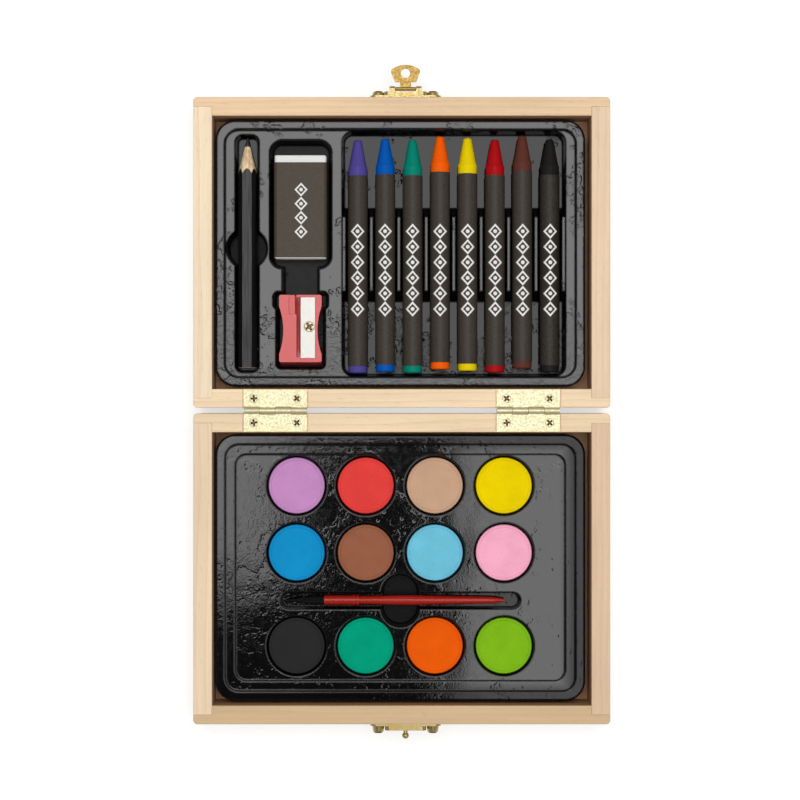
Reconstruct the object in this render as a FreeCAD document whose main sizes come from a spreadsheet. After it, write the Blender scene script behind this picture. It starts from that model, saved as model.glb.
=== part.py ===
"""Hinged wooden art box, lying open flat: a parametric FreeCAD document.

Millimetres, +Z up.  The origin is the centre of the underside of the base half.  The lid
half lies open behind it, towards +Y, turned about the hinge pins along X.
"""
import FreeCAD, Part
import math
import os
from types import SimpleNamespace

import Sketcher

# ---------------------------------------------------------------- driving dimensions
SIZES = {
    # wooden case: each half is a rabbeted frame of rails on a thin glued panel
    "rail_thickness": 7.5,
    "panel_thickness": 3.0,
    "rabbet_lip": 3.8,
    "corner_round": 1.6,
    "edge_round": 0.6,
    # butt hinges let into the rims of the two hinge rails
    "hinge_inset": 32.5,
    "closing_gap": 0.2,
    "leaf_length": 25.0,
    "leaf_setback": 0.3,
    "leaf_thickness": 0.8,
    "knuckle_diameter": 2.6,
    "knuckle_play": 0.15,
    "hinge_pin_diameter": 1.3,
    "pin_clearance": 0.05,
    "mortise_clearance": 0.5,
    "knuckle_clearance": 0.3,
    "knuckle_relief": 0.5,
    "hinge_screw_spacing": 17.0,
    "hinge_screw_edge": 3.5,
    "hinge_screw_head": 3.3,
    "hinge_screw_shank": 1.6,
    "hinge_screw_length": 6.0,
    "hinge_screw_point": 1.6,
    "screw_hole_play": 0.02,
    "screw_tip_play": 0.3,
    # clasp: a hasp plate with a swinging tab on the lid, a catch plate with a ball post
    # on the base
    "clasp_offset": 1.5,
    "clasp_plate_width": 28.0,
    "clasp_plate_gauge": 0.8,
    "clasp_plate_corner": 2.4,
    "clasp_screw_spacing": 21.6,
    "clasp_screw_head": 3.9,
    "clasp_screw_shank": 1.8,
    "clasp_screw_length": 7.0,
    "clasp_screw_point": 1.8,
    "clasp_screw_proud": 0.4,
    "clasp_dome_diameter": 5.2,
    "clasp_dome_draft": 9.0,
    "clasp_head_slope": 45.0,
    "clasp_edge_setback": 0.6,
    "clasp_boss_inset": 0.4,
    "clasp_boss_corner": 1.6,
    "hasp_plate_height": 9.6,
    "hasp_boss_width": 17.0,
    "hasp_boss_rise": 2.3,
    "hasp_screw_stand": 2.9,
    "hasp_pivot_rise": 3.4,
    "hasp_pivot_setback": 1.9,
    "hasp_lug_width": 2.1,
    "hasp_lug_radius": 1.1,
    "hasp_trunnion_diameter": 1.2,
    "tab_thickness": 0.8,
    "tab_reach": 9.5,
    "tab_width": 12.0,
    "tab_shoulder_width": 8.4,
    "tab_shoulder_start": 2.7,
    "tab_widest_at": 7.3,
    "tab_corner": 1.1,
    "tab_neck_width": 4.4,
    "tab_bar_width": 8.2,
    "tab_bar_diameter": 1.5,
    "tab_hole_diameter": 3.7,
    "tab_hole_reach": 6.15,
    "tab_play": 0.15,
    "catch_plate_height": 7.4,
    "catch_boss_width": 16.4,
    "catch_tab_clearance": 0.4,
    "catch_screw_stand": 3.9,
    "ball_diameter": 2.7,
    "ball_rise": 5.0,
    "post_diameter": 1.7,
    "post_rivet_diameter": 2.8,
    "post_rivet_thickness": 0.5,
    # vacuum-formed trays, one in each half
    "tray_side_gap": 1.3,
    "tray_end_gap": 0.9,
    "tray_floor_gap": 0.7,
    "tray_shift": -0.6,
    "tray_corner": 8.0,
    "tray_edge_round": 1.0,
    "ledge_lip_round": 0.4,
    "ledge_foot_round": 0.3,
    "deck_foot_round": 0.2,
    "cup_lip_round": 0.3,
    "well_lip_round": 0.9,
    "crayon_lip_round": 0.15,
    "pencil_lip_round": 0.5,
    "eraser_lip_round": 0.9,
    "sharpener_lip_round": 0.5,
    "ledge_corner": 5.4,
    "deck_corner": 4.4,
    "sheet_thickness": 0.7,
    "tray_draft": 6.0,
    "band_drop": 5.0,
    "deck_drop": 7.0,
    "band_width": 4.0,
    "ledge_width": 4.0,
    "ledge_drop": 6.0,
    # paint tray: twelve cups with a tablet each, and the brush slot
    "tablet_diameter": 22.3,
    "tablet_thickness": 5.0,
    "tablet_lip": 0.9,
    "tablet_dish": 0.35,
    "tablet_edge": 0.3,
    "tablet_gap": 0.85,
    "tablet_sunk": 1.2,
    "cup_gap": 3.6,
    "cup_side_margin": 12.3,
    "cup_back_margin": 0.5,
    "cup_row_gap": 2.8,
    "cup_front_margin": 1.7,
    "brush_slot_gap": 1.15,
    "brush_tip_room": 2.0,
    "brush_tail_room": 6.4,
    "brush_slot_back_land": 3.7,
    "brush_slot_front_land": 2.7,
    "brush_slot_margin": 3.0,
    "brush_recess_width": 15.6,
    "brush_recess_reach": 7.3,
    "recess_depth": 8.6,
    # brush: a moulded handle with a socket for the bristles
    "brush_length": 87.6,
    "bristle_length": 15.6,
    "bristle_diameter": 3.1,
    "bristle_grip": 4.0,
    "bristle_point_length": 6.0,
    "bristle_point_diameter": 0.8,
    "bristle_play": 0.02,
    "socket_length": 11.4,
    "socket_diameter": 3.9,
    "ring_diameter": 4.5,
    "ring_width": 0.9,
    "ring_gap": 0.7,
    "handle_neck_diameter": 3.3,
    "handle_belly_diameter": 4.0,
    "handle_belly_reach": 22.0,
    "handle_tail_diameter": 2.8,
    "handle_tail_length": 5.0,
    "handle_end_diameter": 1.4,
    # what lies loose in the trays rests this far above its seat, and the pencil and the
    # brush lie this far below the deck
    "seat_gap": 0.3,
    "sunk_below_deck": 0.4,
    # drawing tray: crayons between comb ridges, pencil, eraser and sharpener
    "crayon_gap": 2.96,
    "crayon_side_gap": 0.78,
    "crayon_end_room": 2.3,
    "crayon_proud": 0.62,
    "crayon_pocket_corner": 4.4,
    "crayon_end_land": 0.2,
    "crayon_right_land": 3.6,
    "ridge_drop": 1.5,
    "ridge_foot_width": 3.2,
    "ridge_top_width": 1.3,
    "ridge_end_room": 30.1,
    "ridge_end_run": 4.0,
    "pencil_left_land": 3.8,
    "pencil_side_gap": 1.45,
    "pencil_end_room": 1.4,
    "pencil_end_land": 1.7,
    "pencil_slot_corner": 2.8,
    "pencil_recess_reach": 3.7,
    "pencil_recess_shift": 2.1,
    "pencil_right_land": 4.6,
    "small_parts_corner": 4.6,
    "eraser_side_gap": 1.48,
    "eraser_end_room": 4.8,
    "eraser_back_land": 4.0,
    "eraser_right_land": 4.4,
    "link_width": 15.0,
    "link_length": 9.5,
    "sharpener_proud": 1.3,
    "sharpener_side_gap": 1.35,
    "sharpener_end_gap": 1.3,
    "sharpener_front_land": 3.1,
    "sharpener_ear_reach": 1.2,
    "sharpener_ear_length": 7.0,
    "sharpener_ear_corner": 2.0,
    # crayons: a cast wax stick in a paper wrapper
    "crayon_length": 93.2,
    "crayon_diameter": 7.6,
    "crayon_tip_diameter": 3.3,
    "crayon_tip_round": 0.5,
    "crayon_cone_length": 10.2,
    "crayon_cone_foot_diameter": 6.9,
    "crayon_flare_length": 0.8,
    "crayon_butt_round": 0.4,
    "wrapper_thickness": 0.2,
    "wrapper_play": 0.01,
    "wrapper_start": 14.4,
    "wrapper_tail": 2.8,
    "violet_shift": -1.0,
    "blue_shift": -0.5,
    "green_shift": -0.9,
    "orange_shift": 0.5,
    "yellow_shift": -0.1,
    "red_shift": -0.8,
    "brown_shift": 0.8,
    "black_shift": -0.7,
    # pencil: a hexagonal cased lead, sharpened to one cone
    "pencil_length": 92.0,
    "pencil_across_flats": 6.5,
    "pencil_lead_diameter": 2.1,
    "pencil_lead_play": 0.01,
    "pencil_lead_bare": 3.6,
    "pencil_lead_tip_diameter": 0.5,
    "pencil_cone_length": 14.2,
    "pencil_shift": 0.6,
    # eraser in its card sleeve
    "eraser_width": 20.6,
    "eraser_length": 41.2,
    "eraser_thickness": 9.0,
    "eraser_corner": 1.2,
    "eraser_shift": -1.1,
    "sleeve_thickness": 0.3,
    "sleeve_play": 0.02,
    "sleeve_setback": 2.9,
    "sleeve_tail": 0.4,
    # wedge sharpener: the pencil hole opens into a slot beside the blade
    "sharpener_width": 16.9,
    "sharpener_hollow": 1.65,
    "sharpener_length": 28.2,
    "sharpener_height": 9.4,
    "sharpener_end_slope": 1.4,
    "sharpener_corner": 0.8,
    "sharpener_shoulder": 4.6,
    "sharpener_shift": 0.0,
    "hole_line": -0.9,
    "hole_cover": 0.9,
    "hole_mouth_diameter": 7.4,
    "hole_end_diameter": 2.4,
    "hole_end_cover": 3.4,
    "shaving_slot_width": 1.7,
    "shaving_slot_setback": 0.8,
    "shaving_slot_gap": 0.2,
    "shaving_slot_depth": 3.4,
    "mouth_width": 3.1,
    "mouth_length": 7.8,
    "mouth_depth": 1.2,
    "blade_line": 3.0,
    "blade_width": 5.7,
    "blade_end_gap": 3.0,
    "blade_thickness": 0.8,
    "blade_seat_depth": 0.5,
    "blade_setback": 1.0,
    "blade_play": 0.1,
    "blade_screw_line": 3.6,
    "blade_screw_lead": 0.4,
    "blade_screw_head": 4.2,
    "blade_screw_head_height": 0.6,
    "blade_screw_shank": 2.0,
    "blade_screw_length": 4.4,
}

# ---------------------------------------------------------------- document and sheet
doc = FreeCAD.newDocument("ArtBox")
sheet = doc.addObject("Spreadsheet::Sheet", "Sizes")
for row_number, (size_name, size_value) in enumerate(SIZES.items(), 1):
    sheet.set(f"A{row_number}", size_name)
    sheet.set(f"B{row_number}", str(size_value))
    sheet.setAlias(f"B{row_number}", size_name)
doc.recompute()


class Size:
    """A length that carries its number and the sheet expression it comes from."""

    def __init__(self, number, text):
        self.number = number
        self.text = text

    @staticmethod
    def of(other):
        return other if isinstance(other, Size) else Size(float(other), repr(float(other)))

    def __add__(self, other):
        other = Size.of(other)
        return Size(self.number + other.number, f"({self.text} + {other.text})")

    def __sub__(self, other):
        other = Size.of(other)
        return Size(self.number - other.number, f"({self.text} - {other.text})")

    def __mul__(self, other):
        other = Size.of(other)
        return Size(self.number * other.number, f"({self.text} * {other.text})")

    def __truediv__(self, other):
        other = Size.of(other)
        return Size(self.number / other.number, f"({self.text} / {other.text})")

    def __radd__(self, other):
        return Size.of(other) + self

    def __rsub__(self, other):
        return Size.of(other) - self

    def __neg__(self):
        return Size(-self.number, f"(-1 * {self.text})")

    def root(self):
        return Size(math.sqrt(self.number), f"sqrt({self.text})")


def largest(*sizes):
    """The greatest of several sizes, whichever that is when the sheet changes."""
    return Size(max(size.number for size in sizes),
                f"max({'; '.join(size.text for size in sizes)})")


dim = SimpleNamespace(**{name: Size(number, f"Sizes.{name}") for name, number in SIZES.items()})
ZERO = Size.of(0)

# ---------------------------------------------------------------- derived sizes and places
# Pockets, from what lies in them.  Heights in the trays count from the panel's top.
WRAPPED_DIAMETER = dim.crayon_diameter + (dim.wrapper_play + dim.wrapper_thickness) * 2
CRAYON_PITCH = WRAPPED_DIAMETER + dim.crayon_gap
CRAYON_POCKET_WIDTH = CRAYON_PITCH * 8 + dim.crayon_side_gap * 2
CRAYON_POCKET_LENGTH = dim.crayon_length + dim.crayon_end_room * 2
CRAYON_POCKET_DEPTH = WRAPPED_DIAMETER + dim.seat_gap - dim.crayon_proud
WRAPPER_LENGTH = dim.crayon_length - dim.wrapper_start - dim.wrapper_tail
RIDGE_FOOT_LENGTH = CRAYON_POCKET_LENGTH - dim.ridge_end_room * 2
PENCIL_SLOT_WIDTH = dim.pencil_across_flats + dim.pencil_side_gap * 2
PENCIL_SLOT_LENGTH = dim.pencil_length + dim.pencil_end_room * 2
PENCIL_SLOT_DEPTH = dim.pencil_across_flats + dim.seat_gap + dim.sunk_below_deck
SLEEVE_SKIN = dim.sleeve_play + dim.sleeve_thickness
ERASER_POCKET_WIDTH = dim.eraser_width + (SLEEVE_SKIN + dim.eraser_side_gap) * 2
ERASER_POCKET_LENGTH = dim.eraser_length + dim.eraser_end_room * 2
SHARPENER_POCKET_WIDTH = dim.sharpener_width + dim.sharpener_side_gap * 2
SHARPENER_POCKET_LENGTH = dim.sharpener_length + dim.sharpener_end_gap * 2
SMALL_PARTS_DEPTH = dim.sharpener_height + dim.seat_gap - dim.sharpener_proud
CUP_DIAMETER = dim.tablet_diameter + dim.tablet_gap * 2
CUP_PITCH = CUP_DIAMETER + dim.cup_gap
CUP_DEPTH = dim.tablet_thickness + dim.tablet_sunk
BRUSH_SLOT_WIDTH = dim.ring_diameter + dim.brush_slot_gap * 2
BRUSH_SLOT_LENGTH = dim.brush_length + dim.brush_tip_room + dim.brush_tail_room
BRUSH_SLOT_DEPTH = dim.ring_diameter + dim.seat_gap + dim.sunk_below_deck
BLADE_LENGTH = dim.sharpener_length - dim.blade_setback - dim.blade_end_gap
BLADE_SCREW_Y = dim.blade_screw_lead - dim.blade_setback - BLADE_LENGTH / 2

# Both trays are one size: inside its band each holds the wider and the deeper of the two.
DRAWING_WIDTH = (dim.pencil_left_land + PENCIL_SLOT_WIDTH + dim.pencil_right_land
                 + ERASER_POCKET_WIDTH + dim.eraser_right_land + CRAYON_POCKET_WIDTH
                 + dim.crayon_right_land)
PAINT_WIDTH = (CUP_PITCH * 3 + CUP_DIAMETER + dim.cup_side_margin * 2
               + dim.ledge_width * 2)
BRUSH_WIDTH = BRUSH_SLOT_LENGTH + (dim.brush_slot_margin + dim.ledge_width) * 2
SMALL_PARTS_RUN = (dim.eraser_back_land + ERASER_POCKET_LENGTH + dim.link_length
                   + SHARPENER_POCKET_LENGTH + dim.sharpener_front_land)
PAINT_RUN = (dim.cup_back_margin + CUP_DIAMETER * 3 + dim.cup_row_gap
             + dim.brush_slot_back_land + BRUSH_SLOT_WIDTH + dim.brush_slot_front_land
             + dim.cup_front_margin + dim.ledge_width * 2)
WELL_WIDTH = largest(DRAWING_WIDTH, PAINT_WIDTH, BRUSH_WIDTH)
WELL_DEPTH = largest(CRAYON_POCKET_LENGTH + dim.crayon_end_land * 2,
                     PENCIL_SLOT_LENGTH + dim.pencil_end_land * 2,
                     SMALL_PARTS_RUN, PAINT_RUN)
TRAY_WIDTH = WELL_WIDTH + dim.band_width * 2
TRAY_DEPTH = WELL_DEPTH + dim.band_width * 2
DECK = (largest(CRAYON_POCKET_DEPTH, PENCIL_SLOT_DEPTH, SMALL_PARTS_DEPTH, CUP_DEPTH,
                BRUSH_SLOT_DEPTH, dim.recess_depth)
        + dim.sheet_thickness + dim.tray_floor_gap)

# The case, round the trays.
CASE_WIDTH = TRAY_WIDTH + (dim.tray_side_gap + dim.rail_thickness) * 2
HALF_DEPTH = TRAY_DEPTH + (dim.tray_end_gap + dim.rail_thickness) * 2
RAIL_HEIGHT = DECK + dim.deck_drop
BAND = RAIL_HEIGHT - dim.band_drop
LEDGE = RAIL_HEIGHT - dim.ledge_drop
RIM = dim.panel_thickness + RAIL_HEIGHT
HINGE_SPACING = CASE_WIDTH - dim.hinge_inset * 2
HINGE_GAP = dim.knuckle_diameter + (dim.knuckle_clearance - dim.knuckle_relief) * 2
HINGE_Y = HALF_DEPTH / 2 + HINGE_GAP / 2
HINGE_Z = RIM + dim.closing_gap / 2
LEAF_WIDTH = HINGE_GAP / 2 + dim.rail_thickness - dim.leaf_setback
HINGE_SCREW_SETBACK = LEAF_WIDTH - dim.hinge_screw_edge
LID_Y = HINGE_Y * 2
HASP_FACE_Y = LID_Y + HALF_DEPTH / 2
CATCH_FACE_Y = -(HALF_DEPTH / 2)
CATCH_BOSS_RISE = dim.hasp_pivot_rise - dim.tab_thickness / 2 - dim.catch_tab_clearance
CATCH_POST_DROP = dim.tab_hole_reach - dim.hasp_pivot_setback - dim.closing_gap
HASP_CENTRE_DROP = dim.clasp_edge_setback + dim.hasp_plate_height / 2
CATCH_CENTRE_DROP = dim.clasp_edge_setback + dim.catch_plate_height / 2

# Centre lines and centres of the pockets, from the middle of a tray.
WELL_LEFT = -(WELL_WIDTH / 2)
WELL_BACK = WELL_DEPTH / 2
PENCIL_LINE = WELL_LEFT + dim.pencil_left_land + PENCIL_SLOT_WIDTH / 2
SMALL_PARTS_LINE = (PENCIL_LINE + PENCIL_SLOT_WIDTH / 2 + dim.pencil_right_land
                    + ERASER_POCKET_WIDTH / 2)
CRAYON_CENTRE = (SMALL_PARTS_LINE + ERASER_POCKET_WIDTH / 2 + dim.eraser_right_land
                 + CRAYON_POCKET_WIDTH / 2)
ERASER_FOOT = WELL_BACK - dim.eraser_back_land - ERASER_POCKET_LENGTH
ERASER_CENTRE = ERASER_FOOT + ERASER_POCKET_LENGTH / 2
SHARPENER_HEAD = ERASER_FOOT - dim.link_length
SHARPENER_CENTRE = SHARPENER_HEAD - SHARPENER_POCKET_LENGTH / 2
CUP_ROW_BACK = WELL_BACK - dim.ledge_width - dim.cup_back_margin - CUP_DIAMETER / 2
CUP_ROW_MIDDLE = CUP_ROW_BACK - CUP_DIAMETER - dim.cup_row_gap
BRUSH_LINE = (CUP_ROW_MIDDLE - CUP_DIAMETER / 2 - dim.brush_slot_back_land
              - BRUSH_SLOT_WIDTH / 2)
CUP_ROW_FRONT = (BRUSH_LINE - BRUSH_SLOT_WIDTH / 2 - dim.brush_slot_front_land
                 - CUP_DIAMETER / 2)


# ---------------------------------------------------------------- helpers
def bind(thing, path, size):
    """Tie one property of an object to its sheet expression."""
    thing.setExpression(path, Size.of(size).text)


def new_body(label):
    body = doc.addObject("PartDesign::Body", label)
    body.Label = label
    return body


def place(body, x=ZERO, y=ZERO, z=ZERO, turn=0.0, axis=(0, 0, 1)):
    """Put a body in the box: turned by whole degrees about an axis, then moved."""
    rotation = FreeCAD.Rotation(FreeCAD.Vector(*axis), turn)
    body.Placement = FreeCAD.Placement(FreeCAD.Vector(), rotation)
    for letter, size in zip("xyz", (x, y, z)):
        bind(body, f"Placement.Base.{letter}", size)


def origin_plane(body, role):
    return next(part for part in body.Origin.OriginFeatures if part.Role == role)


def new_sketch(body, name, plane="XY_Plane", offset=ZERO):
    """A sketch on one of the body's own planes, moved along the plane's normal."""
    sketch = body.newObject("Sketcher::SketchObject", name)
    sketch.AttachmentSupport = [(origin_plane(body, plane), "")]
    sketch.MapMode = "FlatFace"
    bind(sketch, "AttachmentOffset.Base.z", offset)
    return sketch


def fix(sketch, kind, *terms):
    """Add a driving constraint whose last term is a Size."""
    size = Size.of(terms[-1])
    index = sketch.addConstraint(Sketcher.Constraint(kind, *terms[:-1], size.number))
    bind(sketch, f"Constraints[{index}]", size)


def fix_point(sketch, geometry, point, x, y):
    fix(sketch, "DistanceX", -1, 1, geometry, point, x)
    fix(sketch, "DistanceY", -1, 1, geometry, point, y)


def draw_polygon(sketch, corners, bulges=None):
    """A closed anticlockwise outline through corners given as pairs of sizes.

    bulges gives the radius of the outward arc that leaves a corner, by the corner's number.
    """
    bulges = bulges or {}
    points = [FreeCAD.Vector(Size.of(x).number, Size.of(y).number, 0) for x, y in corners]
    edges = []
    for number, (start, end) in enumerate(zip(points, points[1:] + points[:1])):
        if number in bulges:
            edges.append(sketch.addGeometry(outward_arc(start, end, bulges[number].number)))
            fix(sketch, "Radius", edges[-1], bulges[number])
        else:
            edges.append(sketch.addGeometry(Part.LineSegment(start, end)))
    for edge, following in zip(edges, edges[1:] + edges[:1]):
        sketch.addConstraint(Sketcher.Constraint("Coincident", edge, 2, following, 1))
    for edge, (x, y) in zip(edges, corners):
        fix_point(sketch, edge, 1, x, y)


def outward_arc(start, end, radius):
    """The short arc that bulges to the right of the way from start to end."""
    chord = end - start
    to_centre = math.sqrt(radius ** 2 - (chord.Length / 2) ** 2)
    leftwards = FreeCAD.Vector(-chord.y, chord.x, 0).normalize()
    centre = (start + end) / 2 + leftwards * to_centre
    circle = Part.Circle(centre, FreeCAD.Vector(0, 0, 1), radius)
    first, last = start - centre, end - centre
    return Part.ArcOfCircle(circle, math.atan2(first.y, first.x), math.atan2(last.y, last.x))


def draw_rectangle(sketch, x, y, width, length):
    """A rectangle round the point x, y."""
    west, east = x - width / 2, x + width / 2
    south, north = y - length / 2, y + length / 2
    draw_polygon(sketch, [(west, south), (east, south), (east, north), (west, north)])


def draw_circle(sketch, x, y, radius):
    centre = FreeCAD.Vector(Size.of(x).number, Size.of(y).number, 0)
    circle = sketch.addGeometry(Part.Circle(centre, FreeCAD.Vector(0, 0, 1), radius.number))
    fix_point(sketch, circle, 3, x, y)
    fix(sketch, "Radius", circle, radius)


def draw_belt(sketch, centres, radius):
    """The closed belt stretched round equal circles, whose centres run anticlockwise."""
    spots = [FreeCAD.Vector(Size.of(x).number, Size.of(y).number, 0) for x, y in centres]
    up = FreeCAD.Vector(0, 0, 1)
    outwards = [(end - start).normalize().cross(up) * radius.number
                for start, end in zip(spots, spots[1:] + spots[:1])]
    arcs, lines = [], []
    for number, spot in enumerate(spots):
        before, after = outwards[number - 1], outwards[number]
        start_angle = math.atan2(before.y, before.x)
        end_angle = math.atan2(after.y, after.x)
        circle = Part.Circle(spot, up, radius.number)
        arcs.append(sketch.addGeometry(Part.ArcOfCircle(circle, start_angle, end_angle)))
        far_end = spots[(number + 1) % len(spots)] + after
        lines.append(sketch.addGeometry(Part.LineSegment(spot + after, far_end)))
    for number, (arc, line) in enumerate(zip(arcs, lines)):
        following = arcs[(number + 1) % len(arcs)]
        sketch.addConstraint(Sketcher.Constraint("Tangent", arc, 2, line, 1))
        sketch.addConstraint(Sketcher.Constraint("Tangent", line, 2, following, 1))
        fix_point(sketch, arc, 3, *centres[number])
        fix(sketch, "Radius", arc, radius)


def box_corners(x, y, width, length, radius):
    """Centres of the corner circles of a rounded rectangle round x, y."""
    across, along = width / 2 - radius, length / 2 - radius
    return [(x - across, y - along), (x + across, y - along),
            (x + across, y + along), (x - across, y + along)]


def draw_rounded_rectangle(sketch, x, y, width, length, radius):
    draw_belt(sketch, box_corners(x, y, width, length, radius), radius)


def pad(body, sketch, length, reverse=False, draft=None):
    """Raise a sketch into a solid, narrowing by the draft angle where one is given.

    It grows towards +z, -y or +x from its plane, or the other way in reverse.
    """
    feature = body.newObject("PartDesign::Pad", f"{sketch.Name}Pad")
    feature.Profile = sketch
    feature.Reversed = reverse
    bind(feature, "Length", length)
    if draft is not None:
        bind(feature, "TaperAngle", -draft)
    sketch.Visibility = False
    return feature


def pocket(body, sketch, length, reverse=False, draft=None):
    """Cut a sketch into the solid, against the way a pad grows or with it in reverse.

    A cut that removes nothing stops the build.
    """
    doc.recompute()
    before = body.Shape.Volume
    feature = body.newObject("PartDesign::Pocket", f"{sketch.Name}Pocket")
    feature.Profile = sketch
    feature.Reversed = reverse
    bind(feature, "Length", length)
    if draft is not None:
        bind(feature, "TaperAngle", -draft)
    doc.recompute()
    if body.Shape.Volume >= before:
        raise RuntimeError(f"{feature.Label} removes nothing")
    return feature


def revolve(body, name, profile):
    """Turn a half profile of (distance along X, radius) pairs about the X axis."""
    sketch = new_sketch(body, name, "XY_Plane")
    draw_polygon(sketch, profile)
    feature = body.newObject("PartDesign::Revolution", f"{name}Turn")
    feature.Profile = sketch
    feature.ReferenceAxis = (sketch, ["H_Axis"])
    feature.Angle = 360
    return feature


def groove(body, sketch, axis="H_Axis"):
    """Turn a sketch about one of its axes or edges, cutting; it stops if nothing goes."""
    doc.recompute()
    before = body.Shape.Volume
    feature = body.newObject("PartDesign::Groove", f"{sketch.Name}Groove")
    feature.Profile = sketch
    feature.ReferenceAxis = (sketch, [axis])
    feature.Angle = 360
    doc.recompute()
    if body.Shape.Volume >= before:
        raise RuntimeError(f"{feature.Label} removes nothing")
    return feature


def repeat(body, spacing, count=2, role="X_Axis"):
    """Repeat the whole body along one of its axes, from where it is."""
    doc.recompute()
    feature = body.newObject("PartDesign::LinearPattern", f"{body.Name}Row")
    feature.TransformMode = "Whole shape"
    feature.Direction = (origin_plane(body, role), [""])
    feature.Mode = "Spacing"
    feature.Occurrences = count
    bind(feature, "Offset", spacing)
    body.Tip = feature
    return feature


def edges_of(feature, wanted):
    """Names of the edges whose middle point passes the test."""
    doc.recompute()
    names = []
    for number, edge in enumerate(feature.Shape.Edges, 1):
        if wanted(edge.CenterOfMass, edge):
            names.append(f"Edge{number}")
    if not names:
        raise RuntimeError(f"{feature.Label} has no such edge")
    return names


def round_edges(body, radius, wanted):
    base = body.Tip
    feature = body.newObject("PartDesign::Fillet", f"{body.Name}Round")
    feature.Base = (base, edges_of(base, wanted))
    bind(feature, "Radius", radius)
    body.Tip = feature
    return feature


def near(first, second):
    return abs(first - second) < 0.01


def within(value, centre, reach):
    return abs(value - centre) < reach or near(abs(value - centre), reach)


def is_upright(edge):
    start, end = edge.Vertexes[0].Point, edge.Vertexes[-1].Point
    return near(start.x, end.x) and near(start.y, end.y)


# ---------------------------------------------------------------- wooden case
def rabbeted_rail(label, clasp_x=None, clasp_drop=None, clasp_depth=None):
    """A rail across the case whose end lips cover the ends of the side rails.

    Its outer face is on y = 0 and the inside of the case lies towards +y.  A hinge rail has
    mortises in its rim; a front rail, whose clasp_x is given, has the clasp's screw holes.
    """
    body = new_body(label)
    end = CASE_WIDTH / 2
    shoulder = end - dim.rail_thickness
    plan = new_sketch(body, f"{label}_plan")
    draw_polygon(plan, [(-end, ZERO), (end, ZERO), (end, dim.rabbet_lip),
                        (shoulder, dim.rabbet_lip), (shoulder, dim.rail_thickness),
                        (-shoulder, dim.rail_thickness), (-shoulder, dim.rabbet_lip),
                        (-end, dim.rabbet_lip)])
    pad(body, plan, RAIL_HEIGHT)
    height = RAIL_HEIGHT.number
    round_edges(body, dim.corner_round, lambda at, edge: is_upright(edge) and near(at.y, 0))
    round_edges(body, dim.edge_round, lambda at, edge: near(at.z, height) and near(at.y, 0))
    inside = dim.rail_thickness.number
    round_edges(body, dim.edge_round, lambda at, edge: near(at.z, height) and near(at.y, inside))
    if clasp_x is None:
        cut_hinge_seats(body)
    else:
        face = new_sketch(body, f"{label}_clasp_holes", "XZ_Plane")
        for side in (-1, 1):
            draw_circle(face, clasp_x + dim.clasp_screw_spacing * (side / 2),
                        RAIL_HEIGHT - clasp_drop,
                        dim.clasp_screw_shank / 2 + dim.screw_hole_play)
        pocket(body, face, clasp_depth + dim.screw_tip_play)
    return body


def cut_hinge_seats(body):
    """Mortises the depth of a leaf right across the rim, a groove for the knuckles and
    pilot holes for the screws."""
    seat_length = dim.leaf_length + dim.mortise_clearance * 2
    axis_y = -(HINGE_GAP / 2)
    axis_z = RAIL_HEIGHT + dim.closing_gap / 2
    mortises = new_sketch(body, f"{body.Name}_mortises", offset=RAIL_HEIGHT)
    for side in (-1, 1):
        draw_rectangle(mortises, HINGE_SPACING * (side / 2), dim.rail_thickness / 2,
                       seat_length, dim.rail_thickness * 2)
    pocket(body, mortises, dim.leaf_thickness)
    for side in (-1, 1):
        start = HINGE_SPACING * (side / 2) - seat_length / 2
        groove = new_sketch(body, f"{body.Name}_knuckle_groove", "YZ_Plane", start)
        draw_circle(groove, axis_y, axis_z, dim.knuckle_diameter / 2 + dim.knuckle_clearance)
        pocket(body, groove, seat_length, reverse=True)
    pilots = new_sketch(body, f"{body.Name}_pilots", offset=RAIL_HEIGHT)
    for hinge in (-1, 1):
        for screw in (-1, 1):
            draw_circle(pilots,
                        HINGE_SPACING * (hinge / 2) + dim.hinge_screw_spacing * (screw / 2),
                        axis_y + HINGE_SCREW_SETBACK,
                        dim.hinge_screw_shank / 2 + dim.screw_hole_play)
    pocket(body, pilots, dim.hinge_screw_length + dim.screw_tip_play)


def side_rail(label):
    """A rail between the lips of the two rabbeted rails, its outer face on x = 0."""
    body = new_body(label)
    plan = new_sketch(body, f"{label}_plan")
    draw_rectangle(plan, dim.rail_thickness / 2, ZERO, dim.rail_thickness,
                   HALF_DEPTH - dim.rabbet_lip * 2)
    pad(body, plan, RAIL_HEIGHT)
    height = RAIL_HEIGHT.number
    inside = dim.rail_thickness.number
    round_edges(body, dim.edge_round, lambda at, edge: near(at.z, height) and
                (near(at.x, 0) or near(at.x, inside)))
    return body


def panel(label):
    """The thin board glued under a frame, flush with the rails all round."""
    body = new_body(label)
    plan = new_sketch(body, f"{label}_plan")
    draw_rounded_rectangle(plan, ZERO, ZERO, CASE_WIDTH, HALF_DEPTH, dim.corner_round)
    pad(body, plan, dim.panel_thickness)
    round_edges(body, dim.edge_round, lambda at, edge: near(at.z, 0))
    return body


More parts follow.
